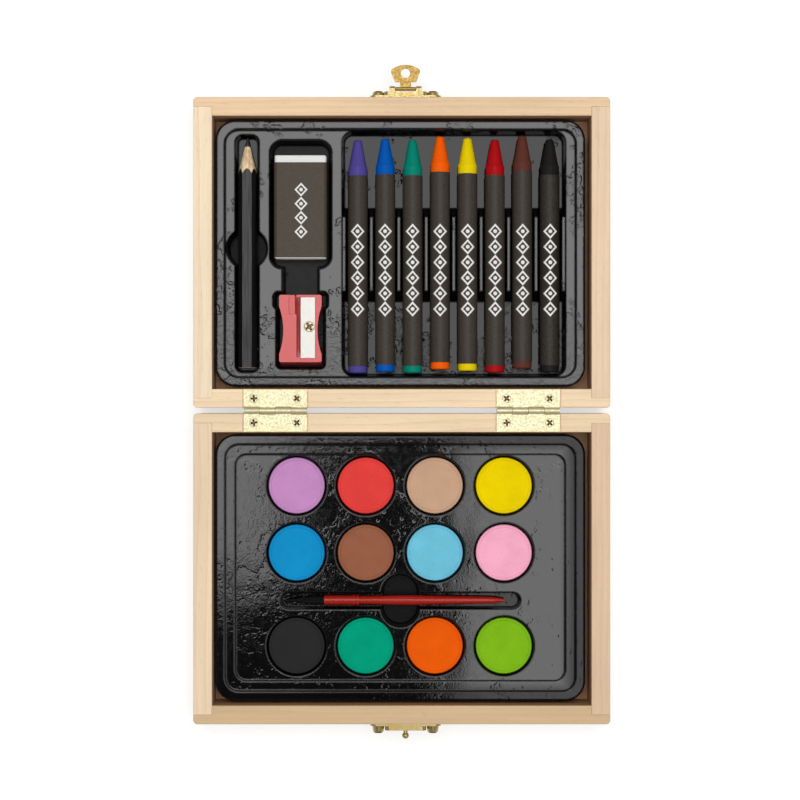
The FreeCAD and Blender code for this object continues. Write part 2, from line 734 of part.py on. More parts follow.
def build_case():
    """Both halves: the lid is the base half turned end for end about the hinges."""
    wall = dim.panel_thickness
    front, side = HALF_DEPTH / 2, CASE_WIDTH / 2
    catch_depth = dim.clasp_screw_length - dim.catch_screw_stand
    hasp_depth = dim.clasp_screw_length - dim.hasp_screw_stand
    place(panel("base_panel"))
    place(rabbeted_rail("base_front_rail", dim.clasp_offset, CATCH_CENTRE_DROP, catch_depth),
          y=-front, z=wall)
    place(rabbeted_rail("base_hinge_rail"), y=front, z=wall, turn=180)
    place(side_rail("base_left_rail"), x=-side, z=wall)
    place(side_rail("base_right_rail"), x=side, z=wall, turn=180)
    place(panel("lid_panel"), y=LID_Y)
    place(rabbeted_rail("lid_front_rail", -dim.clasp_offset, HASP_CENTRE_DROP, hasp_depth),
          y=LID_Y + front, z=wall, turn=180)
    place(rabbeted_rail("lid_hinge_rail"), y=LID_Y - front, z=wall)
    place(side_rail("lid_left_rail"), x=-side, y=LID_Y, z=wall)
    place(side_rail("lid_right_rail"), x=side, y=LID_Y, z=wall, turn=180)


# ---------------------------------------------------------------- hinges
def hinge_leaves(label):
    """Both leaves of one half, lying towards -y from the pin axis on y = 0, z = 0.

    Each leaf carries the first and third of four rolled knuckles.
    """
    body = new_body(label)
    face_z = -(dim.closing_gap / 2)
    free_edge = dim.knuckle_diameter / 2 + dim.knuckle_clearance
    plate = new_sketch(body, f"{label}_plate", offset=face_z)
    draw_rectangle(plate, ZERO, -((LEAF_WIDTH + free_edge) / 2), dim.leaf_length,
                   LEAF_WIDTH - free_edge)
    pad(body, plate, dim.leaf_thickness, reverse=True)
    segment = dim.leaf_length / 4
    barrel = segment - dim.knuckle_play
    for number in (0, 2):
        start = segment * number - dim.leaf_length / 2 + dim.knuckle_play / 2
        tongue = new_sketch(body, f"{label}_tongue", offset=face_z)
        draw_rectangle(tongue, start + barrel / 2, -free_edge, barrel, free_edge * 2)
        pad(body, tongue, dim.leaf_thickness, reverse=True)
        roll = new_sketch(body, f"{label}_roll", "YZ_Plane", start)
        draw_circle(roll, ZERO, ZERO, dim.knuckle_diameter / 2)
        pad(body, roll, barrel)
        bore = new_sketch(body, f"{label}_bore", "YZ_Plane", start)
        draw_circle(bore, ZERO, ZERO, dim.hinge_pin_diameter / 2 + dim.pin_clearance)
        pocket(body, bore, barrel, reverse=True)
    for side in (-1, 1):
        countersink(body, dim.hinge_screw_spacing * (side / 2), -HINGE_SCREW_SETBACK,
                    face_z - dim.leaf_thickness)
    repeat(body, HINGE_SPACING)
    return body


def countersink(body, x, y, z):
    """A screw hole that opens over the leaf's whole thickness to the width of the head."""
    hole = body.newObject("PartDesign::SubtractiveCone", f"{body.Name}_countersink")
    bind(hole, "Radius1", dim.hinge_screw_shank / 2 + dim.screw_hole_play)
    bind(hole, "Radius2", dim.hinge_screw_head / 2 + dim.screw_hole_play)
    bind(hole, "Height", dim.leaf_thickness)
    for letter, size in zip("xyz", (x, y, z)):
        bind(hole, f"Placement.Base.{letter}", size)


def hinge_pins(label):
    body = new_body(label)
    section = new_sketch(body, f"{label}_section", "YZ_Plane", -(dim.leaf_length / 2))
    draw_circle(section, ZERO, ZERO, dim.hinge_pin_diameter / 2)
    pad(body, section, dim.leaf_length)
    repeat(body, HINGE_SPACING)
    return body


def hinge_screws(label):
    """Four countersunk screws, modelled along +x from the head and stood on end."""
    body = new_body(label)
    shank = dim.hinge_screw_shank / 2
    revolve(body, f"{label}_profile", [
        (ZERO, ZERO), (dim.hinge_screw_length, ZERO),
        (dim.hinge_screw_length - dim.hinge_screw_point, shank),
        (dim.leaf_thickness, shank), (ZERO, dim.hinge_screw_head / 2)])
    repeat(body, dim.hinge_screw_spacing, role="Z_Axis")
    repeat(body, HINGE_SPACING, role="Z_Axis")
    return body


def build_hinges():
    west = -(HINGE_SPACING / 2)
    screw_west = west - dim.hinge_screw_spacing / 2
    place(hinge_leaves("base_hinge_leaves"), x=west, y=HINGE_Y, z=HINGE_Z)
    place(hinge_leaves("lid_hinge_leaves"), x=-west, y=HINGE_Y, z=HINGE_Z, turn=180)
    place(hinge_pins("hinge_pins"), x=west, y=HINGE_Y, z=HINGE_Z)
    place(hinge_screws("base_hinge_screws"), x=screw_west, y=HINGE_Y - HINGE_SCREW_SETBACK,
          z=RIM, turn=90, axis=(0, 1, 0))
    place(hinge_screws("lid_hinge_screws"), x=screw_west, y=HINGE_Y + HINGE_SCREW_SETBACK,
          z=RIM, turn=90, axis=(0, 1, 0))


# ---------------------------------------------------------------- clasp
def clasp_plate(label, height, boss_width, boss_rise, screw_stand):
    """A stamped plate on the face y = 0, standing out towards +y, its rim edge near z = 0.

    The middle is pressed out into a hollow boss, and each end into a dome that the
    countersunk head of a screw sits in.
    """
    body = new_body(label)
    middle = -(dim.clasp_edge_setback + height / 2)
    sheet_edge = new_sketch(body, f"{label}_plate", "XZ_Plane")
    draw_rounded_rectangle(sheet_edge, ZERO, middle, dim.clasp_plate_width, height,
                           dim.clasp_plate_corner)
    pad(body, sheet_edge, dim.clasp_plate_gauge, reverse=True)
    boss_height = height - dim.clasp_boss_inset * 2
    boss = new_sketch(body, f"{label}_boss", "XZ_Plane")
    draw_rounded_rectangle(boss, ZERO, middle, boss_width, boss_height, dim.clasp_boss_corner)
    pad(body, boss, boss_rise, reverse=True)
    hollow = new_sketch(body, f"{label}_hollow", "XZ_Plane")
    wall = dim.clasp_plate_gauge
    draw_rounded_rectangle(hollow, ZERO, middle, boss_width - wall * 2, boss_height - wall * 2,
                           dim.clasp_boss_corner - wall)
    pocket(body, hollow, boss_rise - wall)
    dome_rise = screw_stand - dim.clasp_screw_proud
    bore = dim.clasp_screw_shank / 2 + dim.screw_hole_play
    seat = dim.clasp_screw_head / 2 - dim.clasp_screw_proud + dim.screw_hole_play
    domes = new_sketch(body, f"{label}_domes", "XZ_Plane")
    holes = new_sketch(body, f"{label}_holes", "XZ_Plane")
    seats = new_sketch(body, f"{label}_seats", "XZ_Plane", -dome_rise)
    for sketch, radius in ((domes, dim.clasp_dome_diameter / 2), (holes, bore), (seats, seat)):
        for side in (-1, 1):
            draw_circle(sketch, dim.clasp_screw_spacing * (side / 2), middle, radius)
    pad(body, domes, dome_rise, reverse=True, draft=dim.clasp_dome_draft)
    pocket(body, holes, dome_rise)
    pocket(body, seats, seat - bore, reverse=True, draft=dim.clasp_head_slope)
    return body


def add_lugs(body):
    """Two bored lugs on the hasp plate's boss that hold the tab's trunnions."""
    inner = dim.tab_bar_width / 2 + dim.tab_play
    outer = inner + dim.hasp_lug_width
    for start in (-outer, inner):
        web = new_sketch(body, "lug_web", "YZ_Plane", start)
        foot = dim.hasp_boss_rise - dim.clasp_plate_gauge / 2
        draw_rectangle(web, (foot + dim.hasp_pivot_rise) / 2, -dim.hasp_pivot_setback,
                       dim.hasp_pivot_rise - foot, dim.hasp_lug_radius * 2)
        pad(body, web, dim.hasp_lug_width)
        curl = new_sketch(body, "lug_curl", "YZ_Plane", start)
        draw_circle(curl, dim.hasp_pivot_rise, -dim.hasp_pivot_setback, dim.hasp_lug_radius)
        pad(body, curl, dim.hasp_lug_width)
    bore = new_sketch(body, "lug_bore", "YZ_Plane", -outer)
    draw_circle(bore, dim.hasp_pivot_rise, -dim.hasp_pivot_setback,
                dim.hasp_trunnion_diameter / 2 + dim.pin_clearance)
    pocket(body, bore, outer * 2, reverse=True)


def hasp_tab(label):
    """The swinging tab, lying towards +y from its pivot on the x axis."""
    body = new_body(label)
    half_gauge = dim.tab_thickness / 2
    blank = new_sketch(body, f"{label}_blank", offset=-half_gauge)
    neck, shoulder = dim.tab_neck_width / 2, dim.tab_shoulder_width / 2
    wide = dim.tab_width / 2
    crown = dim.tab_reach - dim.tab_widest_at
    crown_radius = (wide * wide + crown * crown) / (crown * 2)
    draw_polygon(blank, [(-neck, ZERO), (neck, ZERO), (neck, dim.tab_shoulder_start),
                         (shoulder, dim.tab_shoulder_start), (wide, dim.tab_widest_at),
                         (-wide, dim.tab_widest_at), (-shoulder, dim.tab_shoulder_start),
                         (-neck, dim.tab_shoulder_start)], bulges={4: crown_radius})
    pad(body, blank, dim.tab_thickness)
    corner_x, corner_y = wide.number, dim.tab_widest_at.number
    round_edges(body, dim.tab_corner, lambda at, edge: is_upright(edge)
                and near(abs(at.x), corner_x) and near(at.y, corner_y))
    reach = dim.tab_bar_width / 2 + dim.tab_play + dim.hasp_lug_width
    for name, half_length, diameter in (("bar", dim.tab_bar_width / 2, dim.tab_bar_diameter),
                                        ("trunnion", reach, dim.hasp_trunnion_diameter)):
        section = new_sketch(body, f"{label}_{name}", "YZ_Plane", -half_length)
        draw_circle(section, ZERO, ZERO, diameter / 2)
        pad(body, section, half_length * 2)
    hole = new_sketch(body, f"{label}_hole", offset=half_gauge)
    draw_circle(hole, ZERO, dim.tab_hole_reach, dim.tab_hole_diameter / 2)
    pocket(body, hole, dim.tab_thickness)
    return body


def catch_post(label):
    """A ball on a post along +x from the face x = 0, riveted behind the plate's boss."""
    body = new_body(label)
    boss_back = CATCH_BOSS_RISE - dim.clasp_plate_gauge
    rivet = new_sketch(body, f"{label}_rivet", "YZ_Plane", boss_back - dim.post_rivet_thickness)
    draw_circle(rivet, ZERO, ZERO, dim.post_rivet_diameter / 2)
    pad(body, rivet, dim.post_rivet_thickness)
    stem = new_sketch(body, f"{label}_stem", "YZ_Plane", boss_back)
    draw_circle(stem, ZERO, ZERO, dim.post_diameter / 2)
    pad(body, stem, dim.ball_rise - boss_back)
    ball = body.newObject("PartDesign::AdditiveSphere", f"{label}_ball")
    bind(ball, "Radius", dim.ball_diameter / 2)
    bind(ball, "Placement.Base.x", dim.ball_rise)
    return body


def clasp_screws(label):
    """A pair of countersunk screws, along +x from the head."""
    body = new_body(label)
    head, shank = dim.clasp_screw_head / 2, dim.clasp_screw_shank / 2
    revolve(body, f"{label}_profile", [
        (ZERO, ZERO), (dim.clasp_screw_length, ZERO),
        (dim.clasp_screw_length - dim.clasp_screw_point, shank),
        (head - shank, shank), (ZERO, head)])
    repeat(body, dim.clasp_screw_spacing, role="Y_Axis")
    return body


def build_clasp():
    x = dim.clasp_offset
    half_spacing = dim.clasp_screw_spacing / 2
    hasp = clasp_plate("hasp_plate", dim.hasp_plate_height, dim.hasp_boss_width,
                       dim.hasp_boss_rise, dim.hasp_screw_stand)
    add_lugs(hasp)
    place(hasp, x=x, y=HASP_FACE_Y, z=RIM)
    place(hasp_tab("hasp_tab"), x=x, y=HASP_FACE_Y + dim.hasp_pivot_rise,
          z=RIM - dim.hasp_pivot_setback)
    place(clasp_screws("hasp_screws"), x=x - half_spacing, y=HASP_FACE_Y + dim.hasp_screw_stand,
          z=RIM - HASP_CENTRE_DROP, turn=-90)
    catch = clasp_plate("catch_plate", dim.catch_plate_height, dim.catch_boss_width,
                        CATCH_BOSS_RISE, dim.catch_screw_stand)
    hole = new_sketch(catch, "catch_post_hole", "XZ_Plane")
    draw_circle(hole, ZERO, -CATCH_POST_DROP, dim.post_diameter / 2 + dim.screw_hole_play)
    pocket(catch, hole, CATCH_BOSS_RISE)
    place(catch, x=x, y=CATCH_FACE_Y, z=RIM, turn=180)
    place(catch_post("catch_post"), x=x, y=CATCH_FACE_Y, z=RIM - CATCH_POST_DROP, turn=-90)
    place(clasp_screws("catch_screws"), x=x + half_spacing, y=CATCH_FACE_Y - dim.catch_screw_stand,
          z=RIM - CATCH_CENTRE_DROP, turn=90)


# ---------------------------------------------------------------- vacuum-formed trays
def tray_pocket(name, centres, radius, depth):
    """A pocket in the deck whose mouth is the belt round circles at the given centres."""
    return SimpleNamespace(name=name, centres=centres, radius=radius, depth=depth)


def draw_mouth(sketch, mouth, growth):
    if len(mouth.centres) == 1:
        draw_circle(sketch, *mouth.centres[0], mouth.radius + growth)
    else:
        draw_belt(sketch, mouth.centres, mouth.radius + growth)


def round_step(body, inset, corner, level, radius):
    """Round the edge of a step: the rounded rectangle at that inset and level."""
    side, end = (TRAY_WIDTH / 2 - inset).number, (TRAY_DEPTH / 2 - inset).number
    arc, height = corner.number, level.number

    def on_step(at, edge):
        x, y = abs(at.x), abs(at.y)
        in_corner = side - arc < x < side and end - arc < y < end
        return near(at.z, height) and (near(x, side) or near(y, end)
                                       or in_corner and near(edge.Length, math.pi * arc / 2))

    round_edges(body, radius, on_step)


def round_mouths(body, x, y, width, length, radius):
    """Round the lips of the pockets whose mouths lie in this rectangle of the deck."""
    side, end, height = (width / 2).number, (length / 2).number, DECK.number
    round_edges(body, radius, lambda at, edge: near(at.z, height)
                and within(at.x, x.number, side) and within(at.y, y.number, end))


def formed_tray(label, steps, pockets):
    """A tray formed from one sheet: skirt, top band, steps down to the deck, and pockets.

    z = 0 is the panel that the skirt stands on.  steps are (inset, level, corner radius);
    everything is grown by the sheet's thickness underneath and then cut from above.
    """
    body = new_body(label)
    sheet_gauge = dim.sheet_thickness
    outside = new_sketch(body, f"{label}_skirt")
    draw_rounded_rectangle(outside, ZERO, ZERO, TRAY_WIDTH, TRAY_DEPTH, dim.tray_corner)
    pad(body, outside, BAND)
    band = BAND.number
    round_edges(body, dim.tray_edge_round, lambda at, edge: near(at.z, band))
    inside = new_sketch(body, f"{label}_inside")
    draw_rounded_rectangle(inside, ZERO, ZERO, TRAY_WIDTH - sheet_gauge * 2,
                           TRAY_DEPTH - sheet_gauge * 2, dim.tray_corner - sheet_gauge)
    pocket(body, inside, BAND - sheet_gauge, reverse=True)
    for inset, level, corner in steps:
        slab = new_sketch(body, f"{label}_slab", offset=level - sheet_gauge)
        draw_rounded_rectangle(slab, ZERO, ZERO, TRAY_WIDTH - (inset - sheet_gauge) * 2,
                               TRAY_DEPTH - (inset - sheet_gauge) * 2, corner + sheet_gauge)
        pad(body, slab, BAND - level)
    for mouth in pockets:
        tub = new_sketch(body, f"{label}_{mouth.name}_tub", offset=DECK)
        draw_mouth(tub, mouth, sheet_gauge)
        pad(body, tub, mouth.depth + sheet_gauge, reverse=True, draft=dim.tray_draft)
    for inset, level, corner in steps:
        well = new_sketch(body, f"{label}_well", offset=BAND)
        draw_rounded_rectangle(well, ZERO, ZERO, TRAY_WIDTH - inset * 2,
                               TRAY_DEPTH - inset * 2, corner)
        pocket(body, well, BAND - level)
    for mouth in pockets:
        hole = new_sketch(body, f"{label}_{mouth.name}", offset=DECK)
        draw_mouth(hole, mouth, ZERO)
        pocket(body, hole, mouth.depth, draft=dim.tray_draft)
    return body


CUP_COLUMNS = [CUP_PITCH * step for step in (-1.5, -0.5, 0.5, 1.5)]
CUP_ROWS = [CUP_ROW_BACK, CUP_ROW_MIDDLE, CUP_ROW_FRONT]


def paint_tray(label):
    slot_end = BRUSH_SLOT_LENGTH / 2 - BRUSH_SLOT_WIDTH / 2
    recess_end = (BRUSH_SLOT_WIDTH - dim.brush_recess_width) / 2 + dim.brush_recess_reach
    pockets = [
        tray_pocket("brush_slot", [(-slot_end, BRUSH_LINE), (slot_end, BRUSH_LINE)],
                    BRUSH_SLOT_WIDTH / 2, BRUSH_SLOT_DEPTH),
        tray_pocket("brush_recess", [(ZERO, BRUSH_LINE - recess_end),
                                     (ZERO, BRUSH_LINE + recess_end)],
                    dim.brush_recess_width / 2, dim.recess_depth)]
    for row in CUP_ROWS:
        for column in CUP_COLUMNS:
            pockets.append(tray_pocket("cup", [(column, row)], CUP_DIAMETER / 2,
                                       CUP_DEPTH))
    deck_inset = dim.band_width + dim.ledge_width
    body = formed_tray(label, [(dim.band_width, LEDGE, dim.ledge_corner),
                               (deck_inset, DECK, dim.deck_corner)], pockets)
    round_step(body, dim.band_width, dim.ledge_corner, BAND, dim.ledge_lip_round)
    round_step(body, dim.band_width, dim.ledge_corner, LEDGE, dim.ledge_foot_round)
    round_step(body, deck_inset, dim.deck_corner, LEDGE, dim.ledge_lip_round)
    round_step(body, deck_inset, dim.deck_corner, DECK, dim.deck_foot_round)
    round_mouths(body, ZERO, ZERO, TRAY_WIDTH - deck_inset * 2 - dim.cup_back_margin,
                 TRAY_DEPTH - deck_inset * 2 - dim.cup_back_margin, dim.cup_lip_round)
    return body


def drawing_tray(label):
    line = SMALL_PARTS_LINE
    ear_y = SHARPENER_HEAD - dim.sharpener_ear_length / 2
    pockets = [
        tray_pocket("pencil_slot",
                    box_corners(PENCIL_LINE, ZERO, PENCIL_SLOT_WIDTH,
                                PENCIL_SLOT_LENGTH, dim.pencil_slot_corner),
                    dim.pencil_slot_corner, PENCIL_SLOT_DEPTH),
        tray_pocket("pencil_recess", [(PENCIL_LINE, dim.pencil_recess_shift)],
                    PENCIL_SLOT_WIDTH / 2 + dim.pencil_recess_reach, dim.recess_depth),
        tray_pocket("eraser_pocket",
                    box_corners(line, ERASER_CENTRE, ERASER_POCKET_WIDTH,
                                ERASER_POCKET_LENGTH, dim.small_parts_corner),
                    dim.small_parts_corner, SMALL_PARTS_DEPTH),
        tray_pocket("link",
                    box_corners(line, (ERASER_FOOT + SHARPENER_HEAD) / 2, dim.link_width,
                                dim.link_length + dim.small_parts_corner * 2,
                                dim.sharpener_ear_corner),
                    dim.sharpener_ear_corner, SMALL_PARTS_DEPTH),
        tray_pocket("sharpener_pocket",
                    box_corners(line, SHARPENER_CENTRE, SHARPENER_POCKET_WIDTH,
                                SHARPENER_POCKET_LENGTH, dim.sharpener_ear_corner),
                    dim.sharpener_ear_corner, SMALL_PARTS_DEPTH),
        tray_pocket("sharpener_ears",
                    box_corners(line, ear_y,
                                SHARPENER_POCKET_WIDTH + dim.sharpener_ear_reach * 2,
                                dim.sharpener_ear_length, dim.sharpener_ear_corner),
                    dim.sharpener_ear_corner, SMALL_PARTS_DEPTH),
        tray_pocket("crayon_pocket",
                    box_corners(CRAYON_CENTRE, ZERO, CRAYON_POCKET_WIDTH,
                                CRAYON_POCKET_LENGTH, dim.crayon_pocket_corner),
                    dim.crayon_pocket_corner, CRAYON_POCKET_DEPTH)]
    body = formed_tray(label, [(dim.band_width, DECK, dim.ledge_corner)], pockets)
    round_step(body, dim.band_width, dim.ledge_corner, BAND, dim.well_lip_round)
    round_mouths(body, PENCIL_LINE, ZERO, PENCIL_SLOT_WIDTH, PENCIL_SLOT_LENGTH,
                 dim.pencil_lip_round)
    round_mouths(body, CRAYON_CENTRE, ZERO, CRAYON_POCKET_WIDTH, CRAYON_POCKET_LENGTH,
                 dim.crayon_lip_round)
    round_mouths(body, line, ERASER_CENTRE, ERASER_POCKET_WIDTH, ERASER_POCKET_LENGTH,
                 dim.eraser_lip_round)
    round_mouths(body, line, SHARPENER_CENTRE,
                 SHARPENER_POCKET_WIDTH + dim.sharpener_ear_reach * 2,
                 SHARPENER_POCKET_LENGTH, dim.sharpener_lip_round)
    add_comb(body)
    return body


def add_comb(body):
    """Low ridges with sloping ends that keep the crayons apart."""
    floor = DECK - CRAYON_POCKET_DEPTH
    first = CRAYON_CENTRE - CRAYON_PITCH * 4
    foot = new_sketch(body, "ridge_foot", offset=floor)
    draw_rectangle(foot, first, ZERO, dim.ridge_foot_width, RIDGE_FOOT_LENGTH)
    crest = new_sketch(body, "ridge_crest", offset=DECK - dim.ridge_drop)
    draw_rectangle(crest, first, ZERO, dim.ridge_top_width,
                   RIDGE_FOOT_LENGTH - dim.ridge_end_run * 2)
    ridge = body.newObject("PartDesign::AdditiveLoft", "ridge")
    ridge.Profile = foot
    ridge.Sections = [crest]
    ridge.Ruled = True
    doc.recompute()
    comb = body.newObject("PartDesign::LinearPattern", "comb")
    comb.Originals = [ridge]
    comb.Direction = (origin_plane(body, "X_Axis"), [""])
    comb.Mode = "Spacing"
    comb.Occurrences = 9
    bind(comb, "Offset", CRAYON_PITCH)
    body.Tip = comb


# ---------------------------------------------------------------- contents of the trays
def paint_tablet(label):
    """A pressed tablet with a raised lip, modelled along +x from its underside."""
    body = new_body(label)
    radius, thickness = dim.tablet_diameter / 2, dim.tablet_thickness
    dish_edge = radius - dim.tablet_lip
    revolve(body, f"{label}_profile", [
        (ZERO, ZERO), (thickness - dim.tablet_dish, ZERO),
        (thickness - dim.tablet_dish, dish_edge - dim.tablet_dish),
        (thickness, dish_edge), (thickness, radius - dim.tablet_edge),
        (thickness - dim.tablet_edge, radius), (ZERO, radius)])
    return body


def crayon_wax(label):
    """The stick, along +x from its tip: a cone, a bare collar and the wrapped length."""
    body = new_body(label)
    tip, radius = dim.crayon_tip_diameter / 2, dim.crayon_diameter / 2
    length = dim.crayon_length
    revolve(body, f"{label}_profile", [
        (ZERO, ZERO), (length, ZERO), (length, radius - dim.crayon_butt_round),
        (length - dim.crayon_butt_round, radius),
        (dim.crayon_cone_length + dim.crayon_flare_length, radius),
        (dim.crayon_cone_length, dim.crayon_cone_foot_diameter / 2),
        (dim.crayon_tip_round, tip), (ZERO, tip - dim.crayon_tip_round)])
    return body


def crayon_wrapper(label):
    body = new_body(label)
    inner = dim.crayon_diameter / 2 + dim.wrapper_play
    section = new_sketch(body, f"{label}_section", "YZ_Plane", dim.wrapper_start)
    draw_circle(section, ZERO, ZERO, inner + dim.wrapper_thickness)
    draw_circle(section, ZERO, ZERO, inner)
    pad(body, section, WRAPPER_LENGTH)
    return body


CRAYON_COLOURS = ["violet", "blue", "green", "orange", "yellow", "red", "brown", "black"]
PAINT_COLOURS = [["lilac", "red", "tan", "yellow"],
                 ["blue", "brown", "sky", "pink"],
                 ["black", "green", "orange", "lime"]]


def build_paints():
    """Twelve tablets, each standing on the floor of its cup."""
    floor = dim.panel_thickness + DECK - CUP_DEPTH
    for row, colours in zip(CUP_ROWS, PAINT_COLOURS):
        for column, colour in zip(CUP_COLUMNS, colours):
            place(paint_tablet(f"{colour}_paint"), x=dim.tray_shift + column, y=row, z=floor,
                  turn=-90, axis=(0, 1, 0))


def build_crayons():
    """Eight crayons side by side, tips towards the clasp, each lying a little differently."""
    floor = dim.panel_thickness + DECK - CRAYON_POCKET_DEPTH
    for number, colour in enumerate(CRAYON_COLOURS):
        x = dim.tray_shift + CRAYON_CENTRE + CRAYON_PITCH * (number - 3.5)
        y = LID_Y + dim.crayon_length / 2 + getattr(dim, f"{colour}_shift")
        z = floor + dim.seat_gap + WRAPPED_DIAMETER / 2
        for piece in (crayon_wax(f"{colour}_crayon"), crayon_wrapper(f"{colour}_wrapper")):
            place(piece, x=x, y=y, z=z, turn=-90)


def pencil_barrel(label):
    """The hexagonal casing, along +x from where the lead's point would be."""
    body = new_body(label)
    flat = dim.pencil_across_flats / 2
    corner = flat * (2 / math.sqrt(3))
    hexagon = new_sketch(body, f"{label}_hexagon", "YZ_Plane", dim.pencil_lead_bare)
    draw_polygon(hexagon, [(corner, ZERO), (corner / 2, flat), (-corner / 2, flat),
                           (-corner, ZERO), (-corner / 2, -flat), (corner / 2, -flat)])
    pad(body, hexagon, dim.pencil_length - dim.pencil_lead_bare)
    waste = new_sketch(body, f"{label}_sharpening", "XY_Plane")
    draw_polygon(waste, [(ZERO, dim.pencil_lead_tip_diameter / 2),
                         (dim.pencil_cone_length, corner), (ZERO, corner)])
    groove(body, waste)
    bore = new_sketch(body, f"{label}_bore", "YZ_Plane")
    draw_circle(bore, ZERO, ZERO, dim.pencil_lead_diameter / 2 + dim.pencil_lead_play)
    pocket(body, bore, dim.pencil_length, reverse=True)
    return body


def pencil_lead(label):
    body = new_body(label)
    tip, radius = dim.pencil_lead_tip_diameter / 2, dim.pencil_lead_diameter / 2
    corner = dim.pencil_across_flats / math.sqrt(3)
    point = dim.pencil_cone_length * (radius - tip) / (corner - tip)
    revolve(body, f"{label}_profile", [(ZERO, ZERO), (dim.pencil_length, ZERO),
                                       (dim.pencil_length, radius), (point, radius),
                                       (ZERO, tip)])
    return body


def build_pencil():
    z = (dim.panel_thickness + DECK - PENCIL_SLOT_DEPTH + dim.seat_gap
         + dim.pencil_across_flats / 2)
    for piece in (pencil_barrel("pencil_barrel"), pencil_lead("pencil_lead")):
        place(piece, x=dim.tray_shift + PENCIL_LINE,
              y=LID_Y + dim.pencil_length / 2 + dim.pencil_shift, z=z, turn=-90)


def eraser_section(sketch, growth):
    """The eraser's rounded section, standing on z = 0 and grown outwards."""
    half = dim.eraser_thickness / 2
    draw_belt(sketch, box_corners(ZERO, half, dim.eraser_width, dim.eraser_thickness,
                                  dim.eraser_corner), dim.eraser_corner + growth)


def build_eraser():
    """The block runs towards -y from its bare end; the sleeve leaves that end showing."""
    block = new_body("eraser_block")
    section = new_sketch(block, "eraser_section", "XZ_Plane")
    eraser_section(section, ZERO)
    pad(block, section, dim.eraser_length)
    length = dim.eraser_length.number
    round_edges(block, dim.eraser_corner / 2,
                lambda at, edge: near(at.y, 0) or near(at.y, -length))
    sleeve = new_body("eraser_sleeve")
    wrap = new_sketch(sleeve, "sleeve_section", "XZ_Plane", dim.sleeve_setback)
    eraser_section(wrap, SLEEVE_SKIN)
    eraser_section(wrap, dim.sleeve_play)
    pad(sleeve, wrap, dim.eraser_length - dim.sleeve_setback - dim.sleeve_tail)
    z = dim.panel_thickness + DECK - SMALL_PARTS_DEPTH + dim.seat_gap + SLEEVE_SKIN
    y = LID_Y + ERASER_CENTRE + dim.eraser_length / 2 + dim.eraser_shift
    for piece in (block, sleeve):
        place(piece, x=dim.tray_shift + SMALL_PARTS_LINE, y=y, z=z)


def sharpener_body(label):
    """The wedge, running towards -y from its mouth, standing on z = 0."""
    body = new_body(label)
    half, length, height = dim.sharpener_width / 2, dim.sharpener_length, dim.sharpener_height
    side = new_sketch(body, f"{label}_side", "YZ_Plane", -half)
    draw_polygon(side, [(-length, ZERO), (ZERO, ZERO), (ZERO, height),
                        (dim.sharpener_end_slope - length, height)])
    pad(body, side, dim.sharpener_width)
    flank, middle = half.number, (height / 2).number
    round_edges(body, dim.sharpener_corner,
                lambda at, edge: near(abs(at.x), flank) and near(at.z, middle))
    chord = length / 2 - dim.sharpener_shoulder
    hollow = dim.sharpener_hollow
    waist_radius = (chord * chord + hollow * hollow) / (hollow * 2)
    for sign in (-1, 1):
        grip = new_sketch(body, f"{label}_grip", offset=height)
        draw_circle(grip, (half - hollow + waist_radius) * sign, -(length / 2), waist_radius)
        pocket(body, grip, height)
    cut_pencil_hole(body, height - dim.hole_cover)
    blade_edge = dim.blade_line - dim.blade_width / 2
    slot_x = blade_edge - dim.shaving_slot_width / 2
    slot_length = BLADE_LENGTH - dim.shaving_slot_gap
    slot_y = -(dim.shaving_slot_setback + slot_length / 2)
    mouth_x = blade_edge - dim.shaving_slot_width - dim.mouth_width / 2
    cuts = [
        ("slot", slot_x, slot_y, dim.shaving_slot_width, slot_length,
         dim.shaving_slot_depth),
        ("mouth", mouth_x, ZERO, dim.mouth_width, dim.mouth_length * 2, dim.mouth_depth),
        ("seat", dim.blade_line, -(dim.blade_setback + BLADE_LENGTH / 2),
         dim.blade_width + dim.blade_play * 2, BLADE_LENGTH + dim.blade_play * 2,
         dim.blade_seat_depth)]
    for name, x, y, width, depth, drop in cuts:
        cut = new_sketch(body, f"{label}_{name}", offset=height)
        draw_rectangle(cut, x, y, width, depth)
        pocket(body, cut, drop)
    pilot = new_sketch(body, f"{label}_pilot", offset=height)
    draw_circle(pilot, dim.blade_screw_line, BLADE_SCREW_Y,
                dim.blade_screw_shank / 2 + dim.screw_hole_play)
    pocket(body, pilot, dim.blade_seat_depth + dim.blade_screw_length + dim.screw_tip_play)
    return body


def cut_pencil_hole(body, top):
    """A cone that leans so that its upper side runs level, just under the blade."""
    mouth, end = dim.hole_mouth_diameter / 2, dim.hole_end_diameter / 2
    depth = dim.sharpener_length - dim.hole_end_cover
    lean = (mouth - end) / depth
    upright = (1 - lean * lean).root()
    start = mouth * lean * 2
    profile = new_sketch(body, "pencil_hole", "YZ_Plane", dim.hole_line)
    draw_polygon(profile, [
        (start, top), (start - mouth * lean, top - mouth * upright),
        (start - depth - end * lean, top - end * upright),
        (start - depth, top)])
    groove(body, profile, "Edge2")


def sharpener_blade(label):
    body = new_body(label)
    plan = new_sketch(body, f"{label}_plan")
    draw_rectangle(plan, dim.blade_line, -(dim.blade_setback + BLADE_LENGTH / 2),
                   dim.blade_width, BLADE_LENGTH)
    draw_circle(plan, dim.blade_screw_line, BLADE_SCREW_Y,
                dim.blade_screw_shank / 2 + dim.screw_hole_play)
    pad(body, plan, dim.blade_thickness)
    return body


